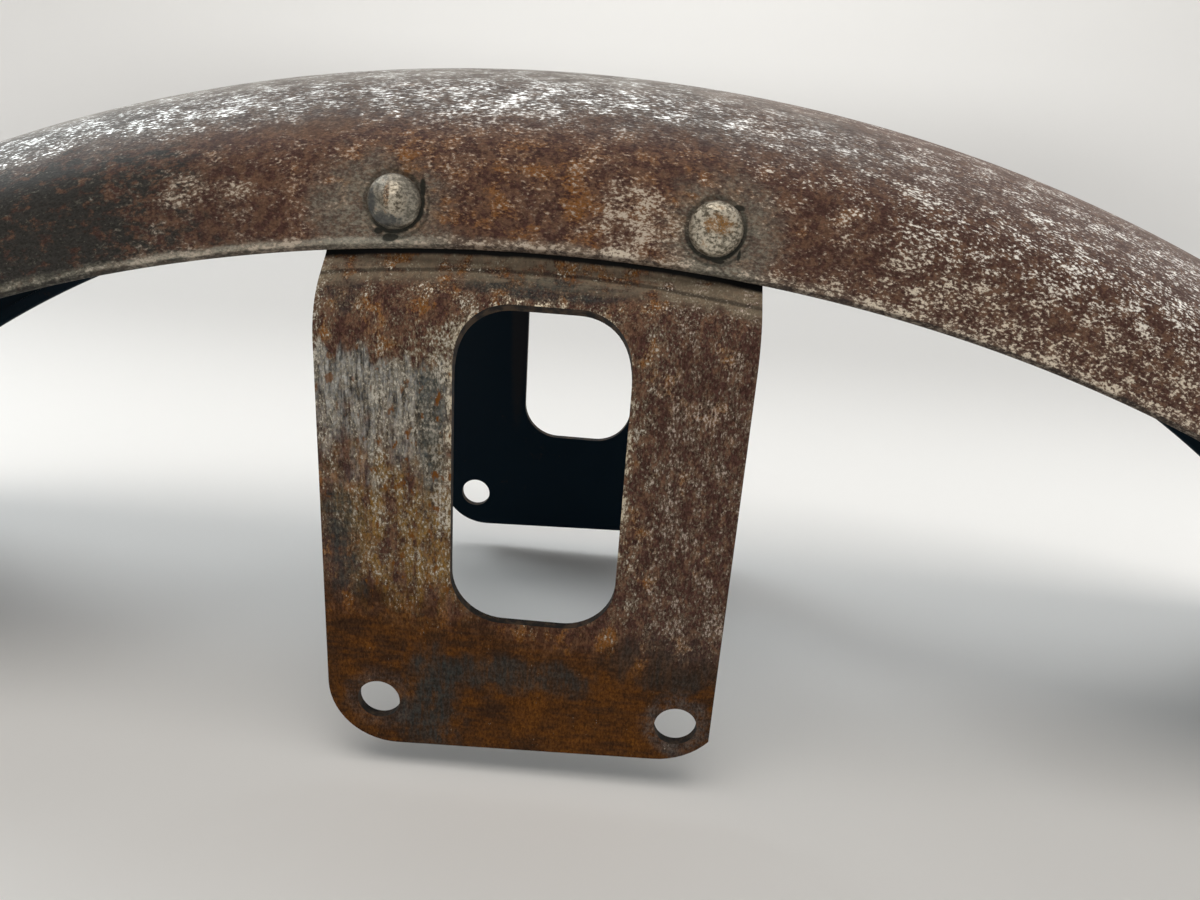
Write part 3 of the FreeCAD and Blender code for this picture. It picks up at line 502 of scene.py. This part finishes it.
leg_up = Vector((-math.sin(LEG_ANGLE), math.cos(LEG_ANGLE)))
leg_out = Vector((math.cos(LEG_ANGLE), math.sin(LEG_ANGLE)))
bend_run = BEND_RADIUS * math.tan(LEG_ANGLE / 2)
return_turn = LEG_ANGLE - SKIRT_LEAN
return_run = RETURN_RADIUS * math.tan(return_turn / 2)
foot = Vector((PLATE_FACE, 0))
bend_start = BEND_CORNER - Vector((0, bend_run))
bend_centre = bend_start - Vector((BEND_RADIUS, 0))
leg_end = RETURN_CORNER - leg_up * return_run
flange_start = RETURN_CORNER + upwards * return_run
return_centre = flange_start + outwards * RETURN_RADIUS

plate_near = new_outline("plate_near", plate_point(foot))
draw_line(plate_point(bend_start))
draw_arc(plate_point(bend_centre), near_way, -LEG_ANGLE, 12)
draw_line(plate_point(leg_end))
draw_arc(plate_point(return_centre), near_way, return_turn, 6)
draw_line(plate_point(FLANGE_TOP))
draw_line(plate_point(FLANGE_TOP, PLATE, outwards))
draw_line(plate_point(flange_start, PLATE, outwards))
draw_arc(plate_point(return_centre), near_way, -return_turn, 6)
draw_line(plate_point(bend_start + Vector((-BEND_RADIUS, 0)) + leg_out * (BEND_RADIUS - PLATE)))
draw_arc(plate_point(bend_centre), near_way, LEG_ANGLE, 12)
draw_line(plate_point(foot, PLATE))
bpy.ops.mesh.select_all(action="SELECT")
bpy.ops.mesh.edge_face_add()
bpy.ops.mesh.extrude_region_move(TRANSFORM_OT_translate={"value": (PLATE_WIDTH, 0, 0)})
bpy.ops.object.mode_set(mode="OBJECT")
close_up(plate_near)


def block(name, middle, size):
    """A box-shaped cutter, left in edit mode with everything selected."""
    bpy.ops.object.select_all(action="DESELECT")
    bpy.ops.mesh.primitive_cube_add(size=1, location=middle)
    piece = bpy.context.object
    piece.name = name
    piece.scale = size
    bpy.ops.object.transform_apply(location=True, rotation=True, scale=True)
    bpy.ops.object.mode_set(mode="EDIT")
    return piece


def runs_across(edge):
    return abs(edge.verts[0].co.y - edge.verts[1].co.y) > CUT_DEPTH / 2


def cut(piece, cutter, operation="DIFFERENCE"):
    """Cuts a piece with a cutter and throws the cutter away."""
    if bpy.context.object.mode == "EDIT":
        bpy.ops.object.mode_set(mode="OBJECT")
    use_modifier(piece, "BOOLEAN", operation=operation, object=cutter, solver="EXACT")
    bpy.data.objects.remove(cutter)


def drill(piece, place, radius):
    bpy.ops.object.select_all(action="DESELECT")
    turn = Vector((0, 1, 0)).to_track_quat("Z", "Y").to_euler()
    bpy.ops.mesh.primitive_cylinder_add(vertices=48, radius=radius, depth=CUT_DEPTH, location=place,
                                        rotation=turn)
    cut(piece, bpy.context.object)


outline = block("outline", (PLATE_MIDDLE, -PLATE_FACE, STOCK_TOP / 2), (PLATE_WIDTH, CUT_DEPTH, STOCK_TOP))
for side in (-1, 1):
    level_there = PLATE_BOTTOM + side * PLATE_WIDTH / 2 * math.tan(BOTTOM_SLOPE)
    pick(lambda v: v.co.z < STOCK_TOP / 2 and (v.co.x - PLATE_MIDDLE) * side > 0, "verts")
    bpy.ops.transform.translate(value=(0, 0, level_there))
pick(lambda edge: runs_across(edge) and edge.verts[0].co.z < STOCK_TOP / 2, "edges")
bpy.ops.mesh.bevel(offset=CORNER_RADIUS, segments=14, affect="EDGES")
cut(plate_near, outline, "INTERSECT")
window = block("window", (PLATE_MIDDLE, -PLATE_FACE, WINDOW_MIDDLE),
               (WINDOW_WIDTH, CUT_DEPTH, WINDOW_HEIGHT))
for side in (-1, 1):
    pick(lambda v: v.co.z > WINDOW_MIDDLE and (v.co.y + PLATE_FACE) * side > 0, "verts")
    bpy.ops.transform.translate(value=(0, 0, WINDOW_RAISE - side * CUT_DEPTH / 2))
pick(runs_across, "edges")
bpy.ops.mesh.bevel(offset=WINDOW_RADIUS, segments=14, affect="EDGES")
cut(plate_near, window)
for side in (-1, 1):
    drill(plate_near, (PLATE_MIDDLE + side * BOLT_REACH, -PLATE_FACE, BOLT_LEVEL), BOLT_RADIUS)
bpy.context.view_layer.objects.active = plate_near
bpy.ops.object.mode_set(mode="EDIT")
bpy.ops.mesh.select_all(action="SELECT")
bpy.ops.mesh.bisect(plane_co=(TRIMMED_EDGE, 0, 0), plane_no=(1, 0, 0), use_fill=True, clear_outer=True)
bpy.ops.object.mode_set(mode="OBJECT")
close_up(plate_near)
use_modifier(plate_near, "BEVEL", width=EDGE_BREAK, segments=2, limit_method="ANGLE",
             angle_limit=EDGE_ANGLE)
close_up(plate_near)

bpy.ops.object.select_all(action="DESELECT")
plate_near.select_set(True)
bpy.ops.object.duplicate()
plate_far = bpy.context.object
plate_far.name = "plate_far"
plate_far.data.name = "plate_far"
bpy.ops.transform.mirror(constraint_axis=(False, True, False), center_override=(0, 0, 0))
bpy.ops.object.transform_apply(location=True, rotation=True, scale=True)
close_up(plate_far)

OCHRE = (0.212, 0.116, 0.025, 1)
BLUE_GREY = (0.030, 0.037, 0.036, 1)
STEEL_GREY = (0.092, 0.093, 0.092, 1)
LOW_RUST_SHADED = (0.036, 0.016, 0.006, 1)
LOW_ORANGE_SHADED = (0.108, 0.038, 0.005, 1)
DOT_RUST = (0.150, 0.056, 0.012, 1)
GRIME_AND_SHADOW = (0.007, 0.007, 0.007, 1)
OLIVE_FILM = (0.225, 0.185, 0.125, 1)
JOGGLE_FILM_LIT = (0.270, 0.225, 0.155, 1)
PALE = (0.50, 0.46, 0.39, 1)
ROSY = (0.44, 0.36, 0.31, 1)
PATCH_DARK = (0.038, 0.041, 0.042, 1)
PATCH_PALE = (0.400, 0.396, 0.366, 1)
RIM_PALE = (0.60, 0.50, 0.34, 1)
EDGE_BLACK = (0.012, 0.011, 0.010, 1)
EDGE_BROWN = (0.060, 0.040, 0.027, 1)
JOGGLE_RADII = (0.3086, 0.3108)
CREASE_RADIUS = 0.3116
GRIME_AND_SHADOW_RADII = (0.3135, 0.3142)
# blue-grey smudges: middle, reach, share of the ragged rim, softness, strength
SMUDGES = (((-0.0165, 0.0165), (0.0060, 0.0120), 1.0, 0.98, 1.0),
           ((-0.0010, 0.0245), (0.0150, 0.0040), 1.0, 0.98, 0.9),
           ((-0.0165, 0.0740), (0.0026, 0.0140), 0.5, 0.60, 1.0),
           ((-0.0330, 0.0520), (0.0034, 0.0120), 1.0, 0.90, 1.0),
           ((0.0300, 0.0310), (0.0110, 0.0060), 1.0, 0.95, 0.6),
           ((-0.0325, 0.0975), (0.0030, 0.0028), 1.0, 0.90, 0.6),
           ((0.0020, 0.1008), (0.0140, 0.0017), 0.5, 0.60, 1.0))

plate_steel, shader, place, (x, y, z) = new_material("plate_steel")
height = z - WHEEL_AXIS.z
radius = x.math("SQRT", x * x + height * height)
near = near_side(y)
grain = vector_of(x, y, z * 0.55)
fleck = noise(grain, 2700, 3, 0.64, 8.3)
clump = noise(grain, 300, 3, 0.55, 1.9)
drift = noise(place, 130, 4, 0.64, 6.4)
streaks = noise(vector_of(x, y, z * 0.10), 420, 4, 0.6, 2.2)
brush = noise(vector_of(x * 0.15, y, z), 900, 3, 0.6, 4.9)
comb = noise(vector_of(x, y, z * 0.12), 1500, 3, 0.64, 3.9)
wobble = (drift - 0.5) * 5 + (clump - 0.5) * 3

gap_x = (abs(x - PLATE_MIDDLE) - (WINDOW_WIDTH / 2 - WINDOW_RADIUS)).most(0.0)
gap_z = (abs(z - WINDOW_MIDDLE - 0.0005) - (WINDOW_HEIGHT / 2 + 0.0005 - WINDOW_RADIUS)).most(0.0)
from_window = x.math("SQRT", gap_x * gap_x + gap_z * gap_z) - WINDOW_RADIUS
rim = (from_window + (clump - 0.5) * 0.004).step(0.0019, 0.0003) * z.step(0.042, 0.056)
rim = rim * (drift + clump).step(0.80, 1.20)
strip = (from_window + (drift - 0.5) * 0.004).step(0.0040, 0.0026)
strip = strip * x.step(0.003, -0.006) * z.step(0.040, 0.062)

patch_top = (z + (streaks - 0.5) * 0.016 + (drift - 0.5) * 0.006).step(0.0888, 0.0868)
patch_foot = (z + (drift - 0.5) * 0.05 + (streaks - 0.5) * 0.03).step(0.062, 0.080)
bare_patch = patch_top * patch_foot * x.step(-0.0120, -0.0140) * near
tan_zone = spot(x, z, (-0.0160, 0.0910), (0.0075, 0.0050), wobble * 0.8, 0.8) * near
ochre_zone = spot(x, z, (-0.0205, 0.0550), (0.0130, 0.0200), wobble, 0.9) * near
# The plate's lower band is darker: partly its own darker rust, partly painted shade where less light reaches
# the lower part.
lower = (z + (drift - 0.5) * 0.03 + (x - 0.003) * 0.12).step(0.0430, 0.0280)
right_column = (x + (drift - 0.5) * 0.008).step(0.0190, 0.0270) * (1 - lower)
smudge = most_of(spot(x, z, middle, reach, wobble * share, soft) * strength
                 for middle, reach, share, soft, strength in SMUDGES) * near
smudge = smudge * (0.35 + (brush + comb).step(0.80, 1.15) * 0.65)
low_ochre = spot(x, z, (0.0130, 0.0180), (0.0120, 0.0110), wobble, 0.95)

marks = []
for side, strength in ((-1, 0.5), (1, 1.0)):
    off_x = x - (PLATE_MIDDLE + side * BOLT_REACH)
    off_z = z - BOLT_LEVEL
    away = x.math("SQRT", off_x * off_x + off_z * off_z) + (drift - 0.5) * 0.006 + (clump - 0.5) * 0.003
    marks.append(away.step(0.0084, 0.0056) * strength * (clump + fleck).step(0.75, 1.15))
washer = most_of(marks)

bare = 0.28 + washer * 0.16 + bare_patch * 0.20 + rim * 0.40 + strip * 0.14 + tan_zone * 0.15
bare = bare + ochre_zone * 0.12 - lower * 0.32
# A lighter strip along the plate's left edge: partly edge wear, partly a painted highlight on the edge's
# bevel.
left_edge_wear_and_highlight = (x - (PLATE_MIDDLE - PLATE_WIDTH / 2) + (clump - 0.5) * 0.003).step(0.0028, 0.0006)
left_edge_wear_and_highlight = left_edge_wear_and_highlight * z.step(0.066, 0.080) * near
bare = bare + right_column * 0.10 + left_edge_wear_and_highlight * 0.24 + (streaks - 0.5) * 0.8
worn = fleck + (clump - 0.5) * 0.5 + (bare - 0.5) * 0.34
film = worn.step(0.42, 0.55)
flecks = worn.step(0.54, 0.66) * (1 - smudge * 0.7)

rust = mixed((noise(grain, 560, 5, 0.66, 5.1) - right_column * 0.05).step(0.45, 0.56), MAROON, BROWN)
orange = drift + (clump - 0.5) * 0.9 + (fleck - 0.5) * 0.5 - right_column * 0.07
rust = mixed(orange.step(0.54, 0.66), rust, ORANGE)
rust = mixed(ochre_zone * (streaks + clump).step(0.85, 1.15) * 0.9, rust, OCHRE)
rust = mixed(ochre_zone * noise(grain, 460, 4, 0.66, 9.7).step(0.52, 0.58) * 0.85, rust, MAROON)
rust = mixed(bare_patch * 0.85, rust, mixed(comb.step(0.36, 0.68), PATCH_DARK, PATCH_PALE))
low = drift * 0.7 + orange * 0.3 + low_ochre * 0.10 + (brush - 0.5) * 0.8
low = mixed(low.step(0.32, 0.72), LOW_RUST_SHADED, LOW_ORANGE_SHADED)
rust = mixed(lower * 0.92, rust, low)
rust = mixed(smudge * 0.85, rust, BLUE_GREY)
rust = mixed(washer * 0.5, rust, STEEL_GREY)
shade = noise(grain, 2400, 4, 0.68, 3.7).step(0.34, 0.66)
rust = rust.node("ShaderNodeHueSaturation", None, {"Color": rust, "Value": 0.50 + shade * 1.00})
# The joggled leg is lighter with an olive-tan veil: partly film, partly painted light where the leg faces
# upward.
joggle_film_and_light = (radius + (drift - 0.5) * 0.004 + (clump - 0.5) * 0.002).step(*JOGGLE_RADII)
joggle_film_and_light = joggle_film_and_light * z.step(0.0960, 0.0985)
cover = film * (0.50 + tan_zone * 0.3 - lower * 0.45 - smudge * 0.3 - right_column * 0.1)
veil = joggle_film_and_light * (orange + (brush - 0.5) * 0.6).step(0.62, 0.43) * 0.50 + cover
rust = mixed(veil.clipped(), rust, mixed(joggle_film_and_light, OLIVE_FILM, JOGGLE_FILM_LIT))
dotted = (bare_patch * 0.7 + ochre_zone + strip * 0.8).clipped()
dots = noise(grain, 620, 3, 0.6, 6.6).step(0.58, 0.66) * dotted
rust = mixed(dots, rust, DOT_RUST)
flecks = flecks * (1 - dots * 0.9)
crease = abs(radius - CREASE_RADIUS - (drift - 0.5) * 0.0008).step(0.00045, 0.00010)
crease = crease * z.step(0.0985, 0.0995)
# A black line right under the lip, where the leg passes up behind the hem: a painted shadow of the gap with
# some grease. The crease line, a real witness mark, shares its black.
grime_and_gap_shadow = (radius + (clump - 0.5) * 0.0006).step(*GRIME_AND_SHADOW_RADII)
rust = mixed((crease * 0.6 + grime_and_gap_shadow).clipped(), rust, GRIME_AND_SHADOW)
flecks = flecks * (1 - grime_and_gap_shadow)
bump = place.node("ShaderNodeBump", None,
                  {"Height": fleck + drift * 1.5 - crease * 2.0, "Strength": 0.22, "Distance": 0.0003})
bright = mixed(rim * 0.7, mixed(right_column, PALE, ROSY), RIM_PALE)
dress(shader, Base_Color=mixed(flecks, rust, bright), Metallic=flecks * 0.5,
      Roughness=0.64 - flecks * 0.2, Specular_IOR_Level=0.06, Normal=bump)

plate_edge, shader, place, (x, y, z) = new_material("plate_edge")
stain = noise(place, 420, 4, 0.62, 2.6)
dress(shader, Base_Color=mixed(stain.step(0.42, 0.62), EDGE_BLACK, EDGE_BROWN),
      Roughness=0.55 + stain * 0.2, Specular_IOR_Level=0.15)

for plate, node, side in ((plate_near, "bracket_near", -1), (plate_far, "bracket_far", 1)):
    plate.data.materials.clear()
    for material in (plate_steel, black_paint, plate_edge):
        plate.data.materials.append(material)
    for face in plate.data.polygons:
        facing = face.normal.y * side
        from_bend = Vector((face.center.y * side, face.center.z)) - bend_centre
        depth_in = (BEND_RADIUS - from_bend.length) / PLATE
        in_window_top = from_bend.y > 0.001 and 0.2 < depth_in < 0.8
        if abs(facing) < 0.45 or in_window_top:
            face.material_index = 2
        else:
            face.material_index = 0 if facing > 0 else 1
    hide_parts(node)
    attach(plate, "root")

# RIVETS
# Four steel rivets, two through each skirt and flange. Their round heads lie outside, and their tails are
# hammered to a flat button inside. The left ones were struck again off centre, which raised a boss.
SHANK = 0.0025
HEAD = 0.0047
HEAD_RISE = 0.0026
TAIL = 0.0040
TAIL_RISE = 0.0019
STACK = 0.00445
GRIP = STACK + DIMPLE_DEPTH
HEAD_GAP = 0.00003
DENT_FLOOR = 0.0012
# dents and bosses on the left and the right heads: place on the head, reach, rise
RIVET_DENTS = ((((0.0003, 0.0016), 0.0020, 0.0007), ((0.0003, -0.0002), 0.0018, 0.0006),
                ((-0.0026, -0.0014), 0.0020, -0.0008), ((0.0028, -0.0018), 0.0016, -0.0006)),
               (((0.0012, 0.0006), 0.0018, -0.0004), ((-0.0018, 0.0014), 0.0016, -0.0004),
                ((-0.0004, -0.0026), 0.0016, -0.0003)))


def rivet_point(radius, height):
    return Vector((radius, 0, height))


rivet = new_outline("rivets", rivet_point(0, HEAD_RISE))
for share, rise in ((0.30, 0.960), (0.50, 0.880), (0.68, 0.755), (0.82, 0.600), (0.92, 0.420), (0.98, 0.230)):
    draw_line(rivet_point(HEAD * share, HEAD_RISE * rise), 2)
draw_line(rivet_point(HEAD, HEAD_RISE * 0.08))
draw_line(rivet_point(HEAD * 0.985, 0))
draw_line(rivet_point(SHANK, 0), 2)
draw_line(rivet_point(SHANK, -GRIP), 2)
draw_line(rivet_point(TAIL * 0.96, -GRIP), 2)
draw_line(rivet_point(TAIL, -GRIP - TAIL_RISE * 0.45))
draw_line(rivet_point(TAIL * 0.88, -GRIP - TAIL_RISE * 0.85))
draw_line(rivet_point(TAIL * 0.60, -GRIP - TAIL_RISE))
draw_line(rivet_point(0, -GRIP - TAIL_RISE), 2)
bpy.ops.mesh.select_all(action="SELECT")
bpy.ops.mesh.spin(steps=48, angle=2 * math.pi, center=(0, 0, 0), axis=(0, 0, 1))
bpy.ops.object.mode_set(mode="OBJECT")
close_up(rivet)

copies = []
for number, (place_there, square) in enumerate(rivet_seats):
    bpy.ops.object.select_all(action="DESELECT")
    bpy.context.view_layer.objects.active = rivet
    rivet.select_set(True)
    bpy.ops.object.duplicate()
    one = bpy.context.object
    bpy.ops.object.mode_set(mode="EDIT")
    for middle, reach, rise in RIVET_DENTS[number % 2]:
        pick(lambda v: v.co.z > DENT_FLOOR and (v.co.xy - Vector(middle)).length < reach * 0.5, "verts")
        bpy.ops.transform.translate(value=(0, 0, rise), use_proportional_edit=True,
                                    proportional_edit_falloff="SMOOTH", proportional_size=reach)
    bpy.ops.object.mode_set(mode="OBJECT")
    one.rotation_mode = "QUATERNION"
    one.rotation_quaternion = square.to_track_quat("Z", "Y")
    one.location = place_there - square * (DIMPLE_DEPTH - HEAD_GAP)
    bpy.ops.object.transform_apply(location=True, rotation=True, scale=True)
    copies.append(one)
bpy.data.objects.remove(rivet)
bpy.ops.object.select_all(action="DESELECT")
for one in copies:
    one.select_set(True)
bpy.context.view_layer.objects.active = copies[0]
bpy.ops.object.join()
rivets = bpy.context.object
rivets.name = "rivets_set"
rivets.data.name = "rivets_set"

HEAD_DARK = (0.110, 0.094, 0.067, 1)
HEAD_PALE = (0.55, 0.488, 0.388, 1)
HEAD_SHADE = (0.140, 0.132, 0.112, 1)
HEAD_LOW_DARK = (0.052, 0.056, 0.058, 1)
SPOT_BROWN = (0.070, 0.036, 0.020, 1)
SPOT_ORANGE = (0.250, 0.112, 0.024, 1)

rivet_steel, shader, place, (x, y, z) = new_material("rivet_steel")
spots = noise(place, 620, 4, 0.64, 1.1)
pits = noise(place, 3400, 4, 0.66, 4.4)
scratches = noise(vector_of(x * 0.7, y, z), 1900, 4, 0.66, 8.8)
near = near_side(y)
ragged = (spots - 0.5) * 4 + (pits - 0.5) * 2
left, right = rivet_seats[0][0], rivet_seats[1][0]
stain = spot(x, z, (left.x - 0.0005, left.z + 0.0012), (0.0006, 0.0020), ragged * 0.6, 0.8)
stain = stain.most(spot(x, z, (right.x + 0.0003, right.z + 0.0010), (0.0024, 0.0014), ragged * 1.6, 0.8))
stain = stain * near
# A dark blue-grey over the left head's lower part and its left rim.
low_left_dark = spot(x, z, (left.x - 0.0010, left.z - 0.0028), (0.0030, 0.0013), ragged, 0.8)
low_left_dark = low_left_dark.most(spot(x, z, (left.x - 0.0036, left.z - 0.0004), (0.0008, 0.0026), ragged, 0.8)) * near
# The left head is painted darker round its boss, a painted shade, and the boss is left paler as a painted
# highlight.
boss_highlight = spot(x, z, (left.x + 0.0003, left.z + 0.0004), (0.0020, 0.0030), ragged * 0.4, 0.6)
left_head_shade = x.step(0.003, -0.003) * (1 - boss_highlight) * near
rusty = (stain * pits.step(0.40, 0.52)).most((spots + (pits - 0.5) * 0.4).step(0.60, 0.70) * 0.6)
worn = (scratches + (spots - 0.5) * 0.6).step(0.38, 0.62)
tint = mixed(worn, HEAD_DARK, HEAD_PALE)
tint = mixed(left_head_shade * 0.55, tint, HEAD_SHADE)
tint = mixed(low_left_dark * 0.8, tint, HEAD_LOW_DARK)
rust = mixed((scratches + (x - left.x) * 8).step(0.40, 0.62), SPOT_BROWN, SPOT_ORANGE)
bump = place.node("ShaderNodeBump", None,
                  {"Height": spots + pits * 0.5, "Strength": 0.4, "Distance": 0.0004})
dress(shader, Base_Color=mixed(rusty * 0.85, tint, rust), Metallic=(1 - rusty) * 0.6,
      Roughness=0.38 + rusty * 0.3, Specular_IOR_Level=0.25, Normal=bump)
rivets.data.materials.clear()
rivets.data.materials.append(rivet_steel)
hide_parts("rivets")
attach(rivets, "root")

# STAGE
# A pale studio floor, painted darker beyond the fender as a painted shade, that sweeps up all round into a
# backdrop, open above to soft light.
FLOOR_RADIUS = 1.3
COVE_RADIUS = 0.7
FLOOR_NEAR = (0.86, 0.85, 0.83, 1)
FLOOR_FAR_SHADED = (0.62, 0.61, 0.595, 1)
BACKDROP = (0.83, 0.82, 0.80, 1)
ROOM_GLOW = (0.307, 0.314, 0.320, 1)
SKY_SEEN = (0.62, 0.61, 0.60, 1)
floor_sweep = new_outline("floor_sweep", (0, 0, 0))
draw_line(Vector((FLOOR_RADIUS, 0, 0)), 8)
draw_arc((FLOOR_RADIUS, 0, COVE_RADIUS), (0, 1, 0), math.pi / 2, 16)
bpy.ops.mesh.select_all(action="SELECT")
bpy.ops.mesh.spin(steps=96, angle=2 * math.pi, center=(0, 0, 0), axis=(0, 0, 1))
bpy.ops.object.mode_set(mode="OBJECT")
close_up(floor_sweep)
pale, shader, place, (x, y, z) = new_material("pale_floor")
# The floor beyond the fender is painted darker: a painted shade.
far_floor_shade = y.step(0.10, 0.36) * abs(x).step(1.2, 0.6)
tone = mixed(far_floor_shade, FLOOR_NEAR, FLOOR_FAR_SHADED)
tone = mixed(z.step(0.03, 0.25), tone, BACKDROP)
dress(shader, Base_Color=tone, Roughness=0.55)
floor_sweep.data.materials.append(pale)

world = bpy.data.worlds.new("soft_room")
world.use_nodes = True
room = Wire(world.node_tree)
seen = most_of(room.node("ShaderNodeLightPath", output=f"Is {kind} Ray")
               for kind in ("Camera", "Glossy", "Transmission"))
sky = mixed(seen, ROOM_GLOW, SKY_SEEN)
dress(world.node_tree.nodes["Background"], Color=sky, Strength=1.0)
bpy.context.scene.world = world


def soft_lamp(name, place, target, width, depth, power, tint, spread=180):
    bpy.ops.object.select_all(action="DESELECT")
    bpy.ops.object.light_add(type="AREA", location=place)
    lamp = bpy.context.object
    lamp.name = name
    lamp.data.shape = "RECTANGLE"
    lamp.data.size, lamp.data.size_y = width, depth
    lamp.data.energy = power
    lamp.data.color = tint
    lamp.data.spread = math.radians(spread)
    lamp.visible_camera = False
    lamp.rotation_mode = "QUATERNION"
    lamp.rotation_quaternion = (Vector(target) - Vector(place)).to_track_quat("-Z", "Y")


soft_lamp("window_light", (-0.15, 2.0, 2.6), (0, 0, 0.05), 3.6, 0.9, 5.2, (1.0, 1.0, 1.0), 80)
soft_lamp("left_window", (-2.2, 1.3, 1.6), (0, 0, 0.05), 1.4, 1.1, 4.2, (0.90, 0.97, 1.0), 60)
soft_lamp("right_window", (2.2, 1.5, 1.6), (0, 0, 0.05), 1.4, 1.1, 1.7, (0.94, 0.98, 1.0), 60)
soft_lamp("room_light", (-0.1, -0.55, 2.2), (0, -0.05, 0.05), 2.0, 1.2, 23, (1.0, 0.95, 0.89))
soft_lamp("wall_light", (0, -0.9, 2.0), (0, 1.95, 0.60), 1.6, 0.4, 6.0, (1.0, 1.0, 0.99), 60)

# CAMERA
# The photo's own viewpoint: close in front of the near plate, a little above it, with a wide lens.
SENSOR_WIDTH = 36.0
LENS = 27.213
CAMERA_PLACE = (0.018979, -0.204231, 0.131694)
CAMERA_RIGHT = (0.996, 0.05874, 0.06727)
CAMERA_WAY = (-0.03089, 0.93333, -0.35769)

camera_data = bpy.data.cameras.new("photo_view")
camera_data.sensor_width = SENSOR_WIDTH
camera_data.lens = LENS
camera_data.clip_start = 0.005
camera = bpy.data.objects.new("photo_view", camera_data)
bpy.context.scene.collection.objects.link(camera)
right = Vector(CAMERA_RIGHT).normalized()
view_way = Vector(CAMERA_WAY).normalized()
up = right.cross(view_way).normalized()
turn = Matrix((right, up, -view_way)).transposed()
camera.matrix_world = Matrix.Translation(CAMERA_PLACE) @ turn.to_4x4()
bpy.context.scene.camera = camera
bpy.context.scene.view_settings.view_transform = "Standard"
